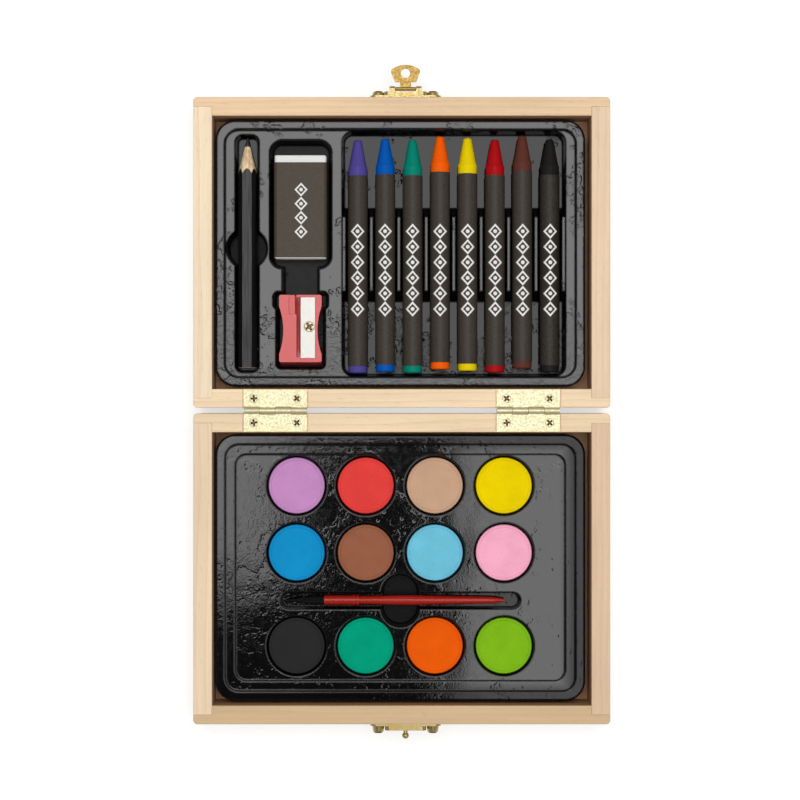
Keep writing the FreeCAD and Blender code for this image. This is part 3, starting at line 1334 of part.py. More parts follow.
def sharpener_screw(label):
    """Pan head and shank, along +x from the top of the head."""
    body = new_body(label)
    head, rise, shank = (dim.blade_screw_head / 2, dim.blade_screw_head_height,
                         dim.blade_screw_shank / 2)
    length = rise + dim.blade_thickness + dim.blade_screw_length
    revolve(body, f"{label}_profile", [
        (ZERO, ZERO), (length, ZERO), (length, shank), (rise, shank), (rise, head),
        (rise / 2, head), (ZERO, head - rise / 2)])
    return body


def build_sharpener():
    """The blade lies in a shallow seat on top of the wedge, held by one screw."""
    x = dim.tray_shift + SMALL_PARTS_LINE
    y = (LID_Y + SHARPENER_CENTRE + dim.sharpener_length / 2
         + dim.sharpener_shift)
    z = dim.panel_thickness + DECK - SMALL_PARTS_DEPTH + dim.seat_gap
    seat = z + dim.sharpener_height - dim.blade_seat_depth
    place(sharpener_body("sharpener_body"), x=x, y=y, z=z)
    place(sharpener_blade("sharpener_blade"), x=x, y=y, z=seat)
    place(sharpener_screw("sharpener_screw"), x=x + dim.blade_screw_line,
          y=y + BLADE_SCREW_Y,
          z=seat + dim.blade_thickness + dim.blade_screw_head_height, turn=90, axis=(0, 1, 0))


def brush_handle(label):
    """Socket, two raised rings and a handle that swells and then tapers, along +x."""
    body = new_body(label)
    start = dim.bristle_length
    rings = start + dim.socket_length
    second_ring = rings + dim.ring_width + dim.ring_gap
    neck = second_ring + dim.ring_width
    belly = neck + dim.handle_belly_reach
    tail = dim.brush_length - dim.handle_tail_length
    socket, ring = dim.socket_diameter / 2, dim.ring_diameter / 2
    neck_radius = dim.handle_neck_diameter / 2
    bore = dim.bristle_diameter / 2 + dim.bristle_play
    bore_end = start + dim.bristle_grip
    revolve(body, f"{label}_profile", [
        (bore_end, ZERO), (dim.brush_length, ZERO),
        (dim.brush_length, dim.handle_end_diameter / 2),
        (tail, dim.handle_tail_diameter / 2), (belly, dim.handle_belly_diameter / 2),
        (neck, neck_radius), (neck, ring), (second_ring, ring), (second_ring, socket),
        (rings + dim.ring_width, socket), (rings + dim.ring_width, ring), (rings, ring),
        (rings, socket), (start, socket), (start, bore), (bore_end, bore)])
    return body


def brush_bristles(label):
    body = new_body(label)
    end = dim.bristle_length + dim.bristle_grip
    revolve(body, f"{label}_profile", [
        (ZERO, ZERO), (end, ZERO), (end, dim.bristle_diameter / 2),
        (dim.bristle_point_length, dim.bristle_diameter / 2),
        (ZERO, dim.bristle_point_diameter / 2)])
    return body


def build_brush():
    x = dim.tray_shift - BRUSH_SLOT_LENGTH / 2 + dim.brush_tip_room
    z = (dim.panel_thickness + DECK - BRUSH_SLOT_DEPTH + dim.seat_gap
         + dim.ring_diameter / 2)
    for piece in (brush_handle("brush_handle"), brush_bristles("brush_bristles")):
        place(piece, x=x, y=BRUSH_LINE, z=z)


# ---------------------------------------------------------------- the whole box
build_case()
build_hinges()
build_clasp()
place(paint_tray("paint_tray"), x=dim.tray_shift, z=dim.panel_thickness)
place(drawing_tray("drawing_tray"), x=dim.tray_shift, y=LID_Y, z=dim.panel_thickness)
build_paints()
build_crayons()
build_pencil()
build_eraser()
build_sharpener()
build_brush()

doc.recompute()
for thing in doc.Objects:
    if "Invalid" in thing.State or "Error" in thing.State:
        raise RuntimeError(f"{thing.Label} failed: {thing.State}")
os.makedirs("parts", exist_ok=True)
bodies = [thing for thing in doc.Objects if thing.TypeId == "PartDesign::Body"]
for body in bodies:
    shape = body.Shape
    if shape.isNull() or not shape.isValid():
        raise RuntimeError(f"{body.Label} has no valid shape")
    shape.exportStep(f"parts/{body.Label}.step")
    print(f"{body.Label}: {len(shape.Solids)} solid(s), {shape.Volume:.1f} mm3")
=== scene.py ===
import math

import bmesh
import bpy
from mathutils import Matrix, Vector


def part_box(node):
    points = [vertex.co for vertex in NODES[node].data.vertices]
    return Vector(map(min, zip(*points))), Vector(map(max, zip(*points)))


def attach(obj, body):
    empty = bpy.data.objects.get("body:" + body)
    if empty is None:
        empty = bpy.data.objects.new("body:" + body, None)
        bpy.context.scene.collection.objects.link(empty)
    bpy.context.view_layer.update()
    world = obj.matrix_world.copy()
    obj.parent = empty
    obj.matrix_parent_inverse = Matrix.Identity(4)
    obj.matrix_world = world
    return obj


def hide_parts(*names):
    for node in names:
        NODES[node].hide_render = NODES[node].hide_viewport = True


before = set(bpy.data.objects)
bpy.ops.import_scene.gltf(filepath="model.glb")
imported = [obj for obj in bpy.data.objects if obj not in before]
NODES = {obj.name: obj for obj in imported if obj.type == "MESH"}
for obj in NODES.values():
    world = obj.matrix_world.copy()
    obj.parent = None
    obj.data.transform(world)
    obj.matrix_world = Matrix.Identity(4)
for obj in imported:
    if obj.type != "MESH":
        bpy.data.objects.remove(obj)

# %% [markdown]
# # A wooden art box, opened flat
#
# The CAD model already has every part at its real size: the pine case, the brass, the two
# formed plastic trays and everything that lies in them. This lesson gives those parts their
# surfaces, builds the few details that are too fine for the CAD model, and sets up the light.
# Lengths are in metres; `MM` turns a millimetre into metres.

MM = 0.001
X, Y, Z = range(3)
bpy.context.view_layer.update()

# %% [markdown]
# ## Helpers for colours and shader trees
#
# Colours are written as they are read off a screen, 0 to 255, and turned into the linear
# values that Blender works with. `add_node` adds one node and connects or sets its inputs,
# so a material reads as a short list of steps.


# %%
def screen_colour(red, green, blue):
    """Linear RGBA of an 8-bit screen colour."""
    def linear(value):
        value = value / 255
        return value / 12.92 if value <= 0.04045 else ((value + 0.055) / 1.055) ** 2.4

    return (linear(red), linear(green), linear(blue), 1.0)


def connect(tree, value, socket):
    """Links an output to the socket, or sets the socket to a plain value."""
    if isinstance(value, bpy.types.NodeSocket):
        tree.links.new(value, socket)
    else:
        socket.default_value = value


def add_node(tree, kind, settings=None, **inputs):
    made = tree.nodes.new(kind)
    for name, value in (settings or {}).items():
        setattr(made, name, value)
    for name, value in inputs.items():
        connect(tree, value, made.inputs[name.replace("_", " ")])
    return made


def calculate(tree, operation, *values):
    """One Math node; returns its output."""
    made = add_node(tree, "ShaderNodeMath", {"operation": operation})
    for socket, value in zip(made.inputs, values):
        connect(tree, value, socket)
    return made.outputs[0]


def plus(tree, first, second):
    return calculate(tree, "ADD", first, second)


def minus(tree, first, second):
    return calculate(tree, "SUBTRACT", first, second)


def times(tree, first, second):
    return calculate(tree, "MULTIPLY", first, second)


def between(tree, value, low, high, to_low=0.0, to_high=1.0, smooth=False):
    """Maps a value from one range to another and holds it at the ends."""
    made = add_node(tree, "ShaderNodeMapRange",
                    {"interpolation_type": "SMOOTHSTEP" if smooth else "LINEAR"},
                    Value=value, From_Min=low, From_Max=high, To_Min=to_low, To_Max=to_high)
    return made.outputs["Result"]


def blend_colours(tree, amount, first, second, how="MIX"):
    made = add_node(tree, "ShaderNodeMix", {"data_type": "RGBA", "blend_type": how})
    connect(tree, amount, made.inputs[0])
    connect(tree, first, made.inputs[6])
    connect(tree, second, made.inputs[7])
    return made.outputs[2]


def toned(tree, colour, pattern, spread):
    """The colour made darker and lighter by up to the spread as the pattern varies."""
    tone = between(tree, pattern, 0.3, 0.7, 1.0 - spread, 1.0 + spread)
    return blend_colours(tree, 1.0, colour, tone, "MULTIPLY")


def object_point(tree):
    return tree.nodes.new("ShaderNodeTexCoord").outputs["Object"]


def parts_of(tree, vector):
    """The x, y and z of a vector."""
    return add_node(tree, "ShaderNodeSeparateXYZ", Vector=vector).outputs


def stretched(tree, vector, scale):
    return add_node(tree, "ShaderNodeMapping", Vector=vector, Scale=scale).outputs["Vector"]


def noise(tree, vector, scale, detail=2.0, roughness=0.5):
    return add_node(tree, "ShaderNodeTexNoise", Vector=vector, Scale=scale, Detail=detail,
                    Roughness=roughness).outputs["Fac"]


def new_material(name, colour, roughness, metallic=0.0):
    """A material with a Principled BSDF; returns the material, its tree and the shader."""
    material = bpy.data.materials.new(name)
    material.use_nodes = True
    tree = material.node_tree
    shader = tree.nodes["Principled BSDF"]
    connect(tree, colour, shader.inputs["Base Color"])
    shader.inputs["Roughness"].default_value = roughness
    shader.inputs["Metallic"].default_value = metallic
    return material, tree, shader


def bump(tree, shader, height, distance, strength=1.0, lip=0.0):
    """Feeds a height into the shader's normal; distance is the real height of 1.

    With a lip, edges also catch the light as if they were rounded by that radius.
    """
    made = add_node(tree, "ShaderNodeBump", Height=height, Distance=distance,
                    Strength=strength)
    if lip:
        soft_edge = add_node(tree, "ShaderNodeBevel", {"samples": 6}, Radius=lip)
        connect(tree, soft_edge.outputs["Normal"], made.inputs["Normal"])
    connect(tree, made.outputs["Normal"], shader.inputs["Normal"])


print("helpers ready")

# %% [markdown]
# ## Shader groups that several materials share
#
# A group is built once and used wherever the same pattern is needed: wood grain along one
# direction, small specks, and the soft unevenness of a moulded or cast surface. A group
# gives only masks and values; each material turns them into colour itself.


# %%
def new_group(name, inputs, outputs):
    group = bpy.data.node_groups.new(name, "ShaderNodeTree")
    for label, kind, value in inputs:
        socket = group.interface.new_socket(label, in_out="INPUT", socket_type=kind)
        if value is not None:
            socket.default_value = value
    for label in outputs:
        group.interface.new_socket(label, in_out="OUTPUT", socket_type="NodeSocketFloat")
    return group, group.nodes.new("NodeGroupInput"), group.nodes.new("NodeGroupOutput")


def wood_grain_group():
    """Growth rings, fine fibres and small pores of pine whose grain runs along x."""
    group, given, made = new_group(
        "wood_grain",
        [("Vector", "NodeSocketVector", None), ("Ring Width", "NodeSocketFloat", 3.2 * MM)],
        ["Rings", "Fibres", "Pores"])
    slow = stretched(group, given.outputs["Vector"], (6.0, 60.0, 60.0))
    wander = noise(group, slow, 1.0, detail=2.0)
    point = parts_of(group, given.outputs["Vector"])
    across = plus(group, point[Y], times(group, point[Z], 0.6))
    rings = calculate(group, "DIVIDE", across, given.outputs["Ring Width"])
    rings = plus(group, rings, times(group, wander, 3.2))
    ring_phase = calculate(group, "FRACT", rings)
    late_wood = calculate(group, "POWER", ring_phase, 3.0)
    connect(group, late_wood, made.inputs["Rings"])
    fine = stretched(group, given.outputs["Vector"], (40.0, 2600.0, 2600.0))
    connect(group, noise(group, fine, 1.0, detail=3.0, roughness=0.6), made.inputs["Fibres"])
    pores = noise(group, stretched(group, given.outputs["Vector"], (220.0, 4200.0, 4200.0)),
                  1.0, detail=1.0)
    connect(group, between(group, pores, 0.66, 0.76), made.inputs["Pores"])
    return group


def speck_group():
    """Scattered small specks: 1 on a speck, 0 elsewhere."""
    group, given, made = new_group(
        "specks",
        [("Vector", "NodeSocketVector", None), ("Scale", "NodeSocketFloat", 600.0),
         ("Share", "NodeSocketFloat", 0.1)],
        ["Mask"])
    cells = add_node(group, "ShaderNodeTexVoronoi", {"feature": "F1"},
                     Vector=given.outputs["Vector"], Scale=given.outputs["Scale"])
    chance = parts_of(group, cells.outputs["Color"])[0]
    chosen = calculate(group, "LESS_THAN", chance, given.outputs["Share"])
    near = between(group, cells.outputs["Distance"], 0.18, 0.34, 1.0, 0.0)
    connect(group, times(group, chosen, near), made.inputs["Mask"])
    return group


def uneven_group():
    """Soft hills of a formed surface, coarse and fine."""
    group, given, made = new_group(
        "uneven",
        [("Vector", "NodeSocketVector", None), ("Scale", "NodeSocketFloat", 90.0)],
        ["Coarse", "Fine"])
    coarse = add_node(group, "ShaderNodeTexNoise", Vector=given.outputs["Vector"],
                      Scale=given.outputs["Scale"], Detail=1.0)
    finer = times(group, given.outputs["Scale"], 7.0)
    fine = add_node(group, "ShaderNodeTexNoise", Vector=given.outputs["Vector"],
                    Scale=finer, Detail=3.0)
    connect(group, coarse.outputs["Fac"], made.inputs["Coarse"])
    connect(group, fine.outputs["Fac"], made.inputs["Fine"])
    return group


GRAIN = wood_grain_group()
SPECKS = speck_group()
UNEVEN = uneven_group()


def use_group(tree, group, **inputs):
    made = tree.nodes.new("ShaderNodeGroup")
    made.node_tree = group
    for name, value in inputs.items():
        connect(tree, value, made.inputs[name.replace("_", " ")])
    return made.outputs


print("groups:", GRAIN.name, SPECKS.name, UNEVEN.name)

# %% [markdown]
# ## Pine
#
# Every rail is its own piece of wood: the grain runs along the rail, starts somewhere else
# in the tree, and each board is a little lighter or darker than the next. Late wood is
# darker and redder than early wood, and fine pores run with the fibres. The faces that
# look into the case get painted shade, a darker and redder brown; a group finds them from
# the space between the rails.


# %%
def inside_shade_group():
    """1 on the faces of one half of the case that look into it, which get painted shade, 0
    elsewhere.
    """
    group, given, made = new_group(
        "inside_case",
        [("Vector", "NodeSocketVector", None), ("Middle", "NodeSocketVector", None),
         ("Half Size", "NodeSocketVector", None)], ["Mask"])
    away = add_node(group, "ShaderNodeVectorMath", {"operation": "SUBTRACT"})
    connect(group, given.outputs["Vector"], away.inputs[0])
    connect(group, given.outputs["Middle"], away.inputs[1])
    side, reach = parts_of(group, away.outputs[0]), parts_of(group, given.outputs["Half Size"])
    within = [calculate(group, "LESS_THAN", calculate(group, "ABSOLUTE", side[axis]),
                        reach[axis]) for axis in (X, Y, Z)]
    mask = times(group, times(group, within[X], within[Y]), within[Z])
    connect(group, mask, made.inputs["Mask"])
    return group


def inner_space(half):
    """Middle and half size of the space between the rails of one half, a touch enlarged."""
    touch = Vector((0.1, 0.1, 0.1)) * MM
    low = Vector((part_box(f"{half}_left_rail")[1].x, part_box(f"{half}_front_rail")[1].y,
                  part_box(f"{half}_panel")[1].z))
    high = Vector((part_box(f"{half}_right_rail")[0].x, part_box(f"{half}_hinge_rail")[0].y,
                   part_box(f"{half}_left_rail")[1].z))
    if low.y > high.y:
        low.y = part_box(f"{half}_hinge_rail")[1].y
        high.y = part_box(f"{half}_front_rail")[0].y
    return (low + high) / 2, (high - low) / 2 + touch


INSIDE_SHADE = inside_shade_group()
PINE_LATE = screen_colour(196, 152, 104)
PINE_PORE = screen_colour(150, 106, 66)
ALONG_X, ALONG_Y = (0, 0, 0), (0, 0, math.radians(90))
BOARDS = {
    # node: (grain direction, ring width in mm, offset in mm, colour)
    "base_panel": (ALONG_X, 7.5, (50, 20, 10), (226, 198, 158)),
    "lid_panel": (ALONG_X, 8.5, (90, 35, 4), (232, 206, 168)),
    "base_front_rail": (ALONG_X, 2.2, (11, 4, 0), (210, 182, 144)),
    "base_hinge_rail": (ALONG_X, 3.4, (34, 0, 2), (238, 214, 179)),
    "base_left_rail": (ALONG_Y, 2.9, (20, 6, 0), (239, 216, 184)),
    "base_right_rail": (ALONG_Y, 2.3, (66, 1, 5), (226, 197, 166)),
    "lid_front_rail": (ALONG_X, 2.6, (140, 9, 1), (235, 204, 167)),
    "lid_hinge_rail": (ALONG_X, 3.1, (240, 3, 6), (247, 222, 186)),
    "lid_left_rail": (ALONG_Y, 4.2, (310, 2, 3), (244, 225, 194)),
    "lid_right_rail": (ALONG_Y, 2.5, (400, 7, 8), (232, 206, 175)),
}


def pine(node, turn, ring_width, offset, colour):
    material, tree, shader = new_material(f"pine_{node}", (1, 1, 1, 1), 0.6)
    shader.inputs["Specular IOR Level"].default_value = 0.25
    point = add_node(tree, "ShaderNodeMapping", Vector=object_point(tree), Rotation=turn,
                     Location=[value * MM for value in offset]).outputs["Vector"]
    grain = use_group(tree, GRAIN, Vector=point, Ring_Width=ring_width * MM)
    broad = noise(tree, stretched(tree, point, (12.0, 70.0, 70.0)), 1.0)
    board = toned(tree, screen_colour(*colour), broad, 0.09)
    board = blend_colours(tree, times(tree, grain["Rings"], 0.22), board, PINE_LATE)
    board = blend_colours(tree, between(tree, grain["Fibres"], 0.35, 0.75, 0.0, 0.16), board,
                          PINE_LATE)
    board = blend_colours(tree, times(tree, grain["Pores"], 0.3), board, PINE_PORE)
    middle, half_size = inner_space(node.split("_")[0])
    # Painted shade: the faces inside the case are mixed toward a dark red brown.
    inside = use_group(tree, INSIDE_SHADE, Vector=object_point(tree), Middle=middle,
                       Half_Size=half_size)["Mask"]
    board = blend_colours(tree, times(tree, inside, 0.6), board, screen_colour(138, 66, 24))
    connect(tree, board, shader.inputs["Base Color"])
    connect(tree, between(tree, grain["Fibres"], 0.3, 0.7, 0.52, 0.7),
            shader.inputs["Roughness"])
    height = minus(tree, grain["Fibres"], grain["Pores"])
    bump(tree, shader, height, 0.06 * MM, 0.5)
    return material


PINES = {node: pine(node, *board) for node, board in BOARDS.items()}
print(len(PINES), "boards")

# %% [markdown]
# ## Brass, steel and the plastics
#
# The brass plates are bright and only lightly brushed; the screws get painted shade in their
# recesses, and the hasp tab a darker copy of the brass as painted shade. Each tray is one thin
# glossy black sheet: its slight waviness breaks the edges of whatever it mirrors, and small
# pits dot it.


# %%
def brass(name, colour, roughness, tarnish_share=0.25):
    material, tree, shader = new_material(name, colour, roughness, 1.0)
    point = object_point(tree)
    uneven = use_group(tree, UNEVEN, Vector=point, Scale=220.0)
    brushed = noise(tree, stretched(tree, point, (700.0, 9000.0, 900.0)), 1.0)
    specks = use_group(tree, SPECKS, Vector=point, Scale=1300.0, Share=0.03)
    connect(tree, between(tree, uneven["Fine"], 0.35, 0.65, roughness * 0.85,
                          roughness * 1.25), shader.inputs["Roughness"])
    tarnish = between(tree, uneven["Coarse"], 0.45, 0.75, 0.0, tarnish_share)
    tarnish = calculate(tree, "MAXIMUM", tarnish, times(tree, specks["Mask"], 0.5))
    shade = blend_colours(tree, tarnish, colour, screen_colour(178, 136, 70))
    connect(tree, shade, shader.inputs["Base Color"])
    bump(tree, shader, plus(tree, times(tree, brushed, 0.3), uneven["Coarse"]), 0.006 * MM,
         0.25)
    return material


leaf_brass = brass("leaf_brass", screen_colour(230, 222, 186), 0.54, 0.06)
clasp_brass = brass("clasp_brass", screen_colour(186, 168, 116), 0.44, 0.45)
# A darker, rougher copy of the clasp brass for the hasp tab: painted shade, so it looks less
# lit.
tab_brass = brass("tab_brass", screen_colour(178, 148, 86), 0.5, 0.4)
pin_brass = brass("pin_brass", screen_colour(206, 174, 104), 0.42)


def screw_metal(name, colour, roughness, tarnish_share):
    """Metal whose cross recess and head edge, marked by the attribute recess, get painted
    shade.
    """
    material = brass(name, colour, roughness, tarnish_share)
    tree = material.node_tree
    shader = tree.nodes["Principled BSDF"]
    plain = shader.inputs["Base Color"].links[0].from_socket
    recess = add_node(tree, "ShaderNodeAttribute", {"attribute_name": "recess"})
    # Painted shade in the cross recess and round the head edge.
    recess_shade = between(tree, recess.outputs["Fac"], 0.1, 0.8, 0.0, 0.9)
    connect(tree, blend_colours(tree, recess_shade, plain, screen_colour(96, 66, 12)),
            shader.inputs["Base Color"])
    return material


screw_brass = screw_metal("screw_brass", screen_colour(214, 206, 172), 0.5, 0.1)


def steel(name, colour, roughness):
    material, tree, shader = new_material(name, colour, roughness, 1.0)
    point = object_point(tree)
    ground = noise(tree, stretched(tree, point, (9000.0, 700.0, 900.0)), 1.0, detail=3.0)
    connect(tree, toned(tree, colour, ground, 0.05), shader.inputs["Base Color"])
    connect(tree, between(tree, ground, 0.3, 0.7, roughness * 0.85, roughness * 1.2),
            shader.inputs["Roughness"])
    bump(tree, shader, ground, 0.002 * MM, 0.3)
    return material


blade_steel = steel("blade_steel", screen_colour(200, 197, 192), 0.5)
screw_steel = screw_metal("screw_steel", screen_colour(200, 190, 164), 0.48, 0.15)


# heights over which a tray's surface counts as a deep floor or as any pocket's floor
DEEP_FLOORS = (4.5 * MM, 5.0 * MM)
POCKET_FLOORS = (8.2 * MM, 9.0 * MM)


def tray_plastic(name, node, rough_share, pit_depth, pulled, shaded=0.0):
    """One thin glossy black sheet: flat and bright in places, pitted and rough in others.

    The mould pulled the sheet harder toward its rim and toward one side: pulled gives the
    axis, where that begins and where it is strongest, in mm. The floors of the pockets are
    duller than the deck, and dust dulls the deepest ones. Away from the left side the rim
    gets duller too, by shaded.
    """
    material, tree, shader = new_material(name, (0.0022, 0.0022, 0.0025, 1), 0.06)
    point = object_point(tree)
    place = parts_of(tree, point)
    axis, begin, strongest = pulled
    share = between(tree, place[axis], begin * MM, strongest * MM, rough_share,
                    rough_share + 0.13)
    low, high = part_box(node)
    rim_ward = []
    for side in (X, Y):
        middle, half = (low[side] + high[side]) / 2, (high[side] - low[side]) / 2
        away = calculate(tree, "ABSOLUTE", minus(tree, place[side], middle))
        rim_ward.append(calculate(tree, "DIVIDE", away, half))
    rim = between(tree, calculate(tree, "MAXIMUM", *rim_ward), 0.86, 0.93, 0.0, 0.07)
    share = plus(tree, share, rim)
    spread = noise(tree, point, 62.0, detail=4.0, roughness=0.7)
    patches = between(tree, plus(tree, spread, share), 0.68, 0.72)
    deep = between(tree, place[Z], *DEEP_FLOORS, 1.0, 0.0)
    uneven = use_group(tree, UNEVEN, Vector=point, Scale=55.0)
    pitted = noise(tree, point, 540.0, detail=3.0, roughness=0.65)
    peel = noise(tree, point, 1500.0, detail=2.0)
    specks = use_group(tree, SPECKS, Vector=point, Scale=420.0, Share=0.06)
    gloss = between(tree, uneven["Fine"], 0.4, 0.7, 0.05, 0.1)
    connect(tree, plus(tree, gloss, times(tree, deep, 0.3)), shader.inputs["Roughness"])
    sunk = between(tree, place[Z], *POCKET_FLOORS, 0.24, 0.5)
    shade = between(tree, place[X], low[X], (low[X] + high[X]) / 2, 0.0, shaded)
    dull = plus(tree, times(tree, deep, 0.17), times(tree, rim, shade))
    connect(tree, minus(tree, sunk, dull), shader.inputs["Specular IOR Level"])
    pits = times(tree, times(tree, pitted, patches), pit_depth)
    height = plus(tree, times(tree, uneven["Coarse"], 0.4), pits)
    height = plus(tree, height, times(tree, peel, 0.035))
    height = minus(tree, height, times(tree, specks["Mask"], 0.14))
    bump(tree, shader, height, 0.35 * MM, 0.6, lip=0.9 * MM)
    return material


paint_tray_plastic = tray_plastic("paint_tray_plastic", "paint_tray", 0.1, 0.2,
                                  (X, 30, -40), shaded=4.0)
drawing_tray_plastic = tray_plastic("drawing_tray_plastic", "drawing_tray", 0.07, 1.1,
                                    (Y, 118, 84))


def moulded_plastic(name, colour, roughness, gloss=0.5):
    material, tree, shader = new_material(name, colour, roughness)
    shader.inputs["Specular IOR Level"].default_value = gloss
    point = object_point(tree)
    uneven = use_group(tree, UNEVEN, Vector=point, Scale=240.0)
    connect(tree, between(tree, uneven["Fine"], 0.35, 0.65, roughness * 0.8,
                          roughness * 1.25), shader.inputs["Roughness"])
    bump(tree, shader, uneven["Coarse"], 0.05 * MM, 0.5)
    return material


sharpener_plastic = moulded_plastic("sharpener_plastic", screen_colour(205, 66, 66), 0.32)
brush_plastic = moulded_plastic("brush_plastic", screen_colour(156, 26, 12), 0.24, 0.3)
print("metals and plastics ready")

# %% [markdown]
# ## What draws and paints
#
# The paint tablets are pressed pigment, quite matt with a fine chalky grain. The crayons
# are wax: a soft sheen, with fine scrapes along the stick.


# %%
PAINTS = {
    "lilac": (195, 139, 191), "red": (226, 66, 62), "tan": (199, 161, 132),
    "yellow": (235, 208, 0), "blue": (20, 142, 199), "brown": (150, 94, 69),
    "sky": (111, 193, 218), "pink": (246, 171, 196), "black": (42, 42, 42),
    "green": (0, 156, 122), "orange": (235, 92, 8), "lime": (126, 183, 26),
}
CRAYONS = {
    "violet": (78, 68, 142), "blue": (0, 84, 172), "green": (0, 128, 108),
    "orange": (240, 92, 0), "yellow": (226, 202, 0), "red": (166, 12, 20),
    "brown": (92, 50, 40), "black": (30, 29, 28),
}


def pigment(name, colour):
    material, tree, shader = new_material(name, colour, 0.9)
    shader.inputs["Specular IOR Level"].default_value = 0.06
    point = object_point(tree)
    grain = noise(tree, point, 2600.0, detail=3.0, roughness=0.7)
    patches = use_group(tree, UNEVEN, Vector=point, Scale=130.0)["Coarse"]
    pits = use_group(tree, SPECKS, Vector=point, Scale=1500.0, Share=0.12)["Mask"]
    shade = toned(tree, toned(tree, colour, grain, 0.07), patches, 0.05)
    # The pits are sunk by the bump and also painted darker toward black: painted shade.
    shade = blend_colours(tree, times(tree, pits, 0.18), shade, (0, 0, 0, 1))
    connect(tree, shade, shader.inputs["Base Color"])
    bump(tree, shader, minus(tree, grain, pits), 0.05 * MM, 0.5)
    return material


def wax(name, colour):
    material, tree, shader = new_material(name, colour, 0.45)
    shader.inputs["Specular IOR Level"].default_value = 0.06
    shader.inputs["Subsurface Weight"].default_value = 0.06
    shader.inputs["Subsurface Radius"].default_value = (0.8 * MM, 0.6 * MM, 0.5 * MM)
    point = object_point(tree)
    uneven = use_group(tree, UNEVEN, Vector=point, Scale=320.0)
    connect(tree, toned(tree, colour, uneven["Fine"], 0.12), shader.inputs["Base Color"])
    connect(tree, between(tree, uneven["Coarse"], 0.35, 0.65, 0.36, 0.55),
            shader.inputs["Roughness"])
    scraped = noise(tree, stretched(tree, point, (1800.0, 120.0, 1800.0)), 1.0)
    bump(tree, shader, plus(tree, uneven["Fine"], scraped), 0.04 * MM, 0.4)
    return material


PIGMENTS = {name: pigment(f"{name}_pigment", screen_colour(*rgb))
            for name, rgb in PAINTS.items()}
WAXES = {name: wax(f"{name}_wax", screen_colour(*rgb)) for name, rgb in CRAYONS.items()}
print(len(PIGMENTS), "pigments and", len(WAXES), "waxes")

# %% [markdown]
# ## Printed paper
#
# The crayon wrappers and the eraser's sleeve are dark paper with a plain printed ornament:
# a chain of small diamonds, each with a dot, on the side that faces up. `diamond_chain`
# works it out from the distance to a centre line and the way along it.


# %%
def diamond_chain(tree, across, along, up, start, unit, count, half_width):
    """1 on the ink of a chain of diamonds along y from start, where up is above 0."""
    half_unit, end = unit / 2, start + count * unit
    cell = calculate(tree, "WRAP", minus(tree, along, start), unit, 0.0)
    step = calculate(tree, "ABSOLUTE", minus(tree, cell, half_unit))
    side = calculate(tree, "ABSOLUTE", across)
    ring = plus(tree, calculate(tree, "DIVIDE", side, half_width),
                calculate(tree, "DIVIDE", step, half_unit))
    outer = between(tree, ring, 0.97, 1.0, 1.0, 0.0)
    inner = between(tree, ring, 0.64, 0.67)
    dot = calculate(tree, "SQRT", plus(tree, times(tree, side, side), times(tree, step, step)))
    dot = between(tree, dot, half_width * 0.24, half_width * 0.3, 1.0, 0.0)
    ink = calculate(tree, "MAXIMUM", times(tree, outer, inner), dot)
    inside = times(tree, calculate(tree, "GREATER_THAN", along, start),
                   calculate(tree, "LESS_THAN", along, end))
    inside = times(tree, inside, calculate(tree, "GREATER_THAN", up, 0.0))
    return times(tree, ink, inside)


def printed_paper(name, paper, ink, roughness, placed):
    """Paper with fibres; placed(tree, x, y, z) gives the mask of its ornament."""
    material, tree, shader = new_material(name, paper, roughness)
    shader.inputs["Specular IOR Level"].default_value = 0.3
    point = object_point(tree)
    fibres = noise(tree, stretched(tree, point, (700.0, 260.0, 700.0)), 4.0, detail=4.0,
                   roughness=0.7)
    worn = use_group(tree, UNEVEN, Vector=point, Scale=260.0)
    base = blend_colours(tree, between(tree, fibres, 0.35, 0.7, 0.0, 0.5), paper,
                         screen_colour(88, 78, 68))
    mask = placed(tree, *parts_of(tree, point)[:3])
    faded = times(tree, mask, between(tree, worn["Fine"], 0.3, 0.6, 0.8, 1.0))
    connect(tree, blend_colours(tree, faded, base, ink), shader.inputs["Base Color"])
    bump(tree, shader, fibres, 0.04 * MM, 0.6)
    return material


WRAPPED = [name for name in NODES if name.endswith("_wrapper")]
centres = sorted((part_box(name)[0].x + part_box(name)[1].x) / 2 for name in WRAPPED)
crayon_pitch = (centres[-1] - centres[0]) / (len(centres) - 1)
crayon_axis_height = (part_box(WRAPPED[0])[0].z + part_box(WRAPPED[0])[1].z) / 2
# (start along y, length of one diamond, how many, half width)
WRAPPER_PRINT = (100.0 * MM, 6.2 * MM, 6, 2.8 * MM)
SLEEVE_PRINT = (131.0 * MM, 5.6 * MM, 4, 2.65 * MM)


def wrapper_ornament(tree, x, y, z):
    first = centres[0] - crayon_pitch / 2
    cell = calculate(tree, "WRAP", minus(tree, x, first), crayon_pitch, 0.0)
    across = minus(tree, cell, crayon_pitch / 2)
    up = minus(tree, z, crayon_axis_height)
    return diamond_chain(tree, across, y, up, *WRAPPER_PRINT)


def sleeve_ornament(tree, x, y, z):
    low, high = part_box("eraser_sleeve")
    across = minus(tree, x, (low.x + high.x) / 2 + 0.3 * MM)
    up = minus(tree, z, high.z - 1.0 * MM)
    return diamond_chain(tree, across, y, up, *SLEEVE_PRINT)


INK = screen_colour(232, 230, 226)
wrapper_paper = printed_paper("wrapper_paper", screen_colour(46, 41, 34), INK, 0.55,
                              wrapper_ornament)
black_wrapper_paper = printed_paper("black_wrapper_paper", screen_colour(20, 18, 16), INK,
                                    0.55, wrapper_ornament)
card_sleeve = printed_paper("card_sleeve", screen_colour(60, 49, 35), INK, 0.5,
                            sleeve_ornament)
print("crayon pitch", round(crayon_pitch / MM, 2), "mm")

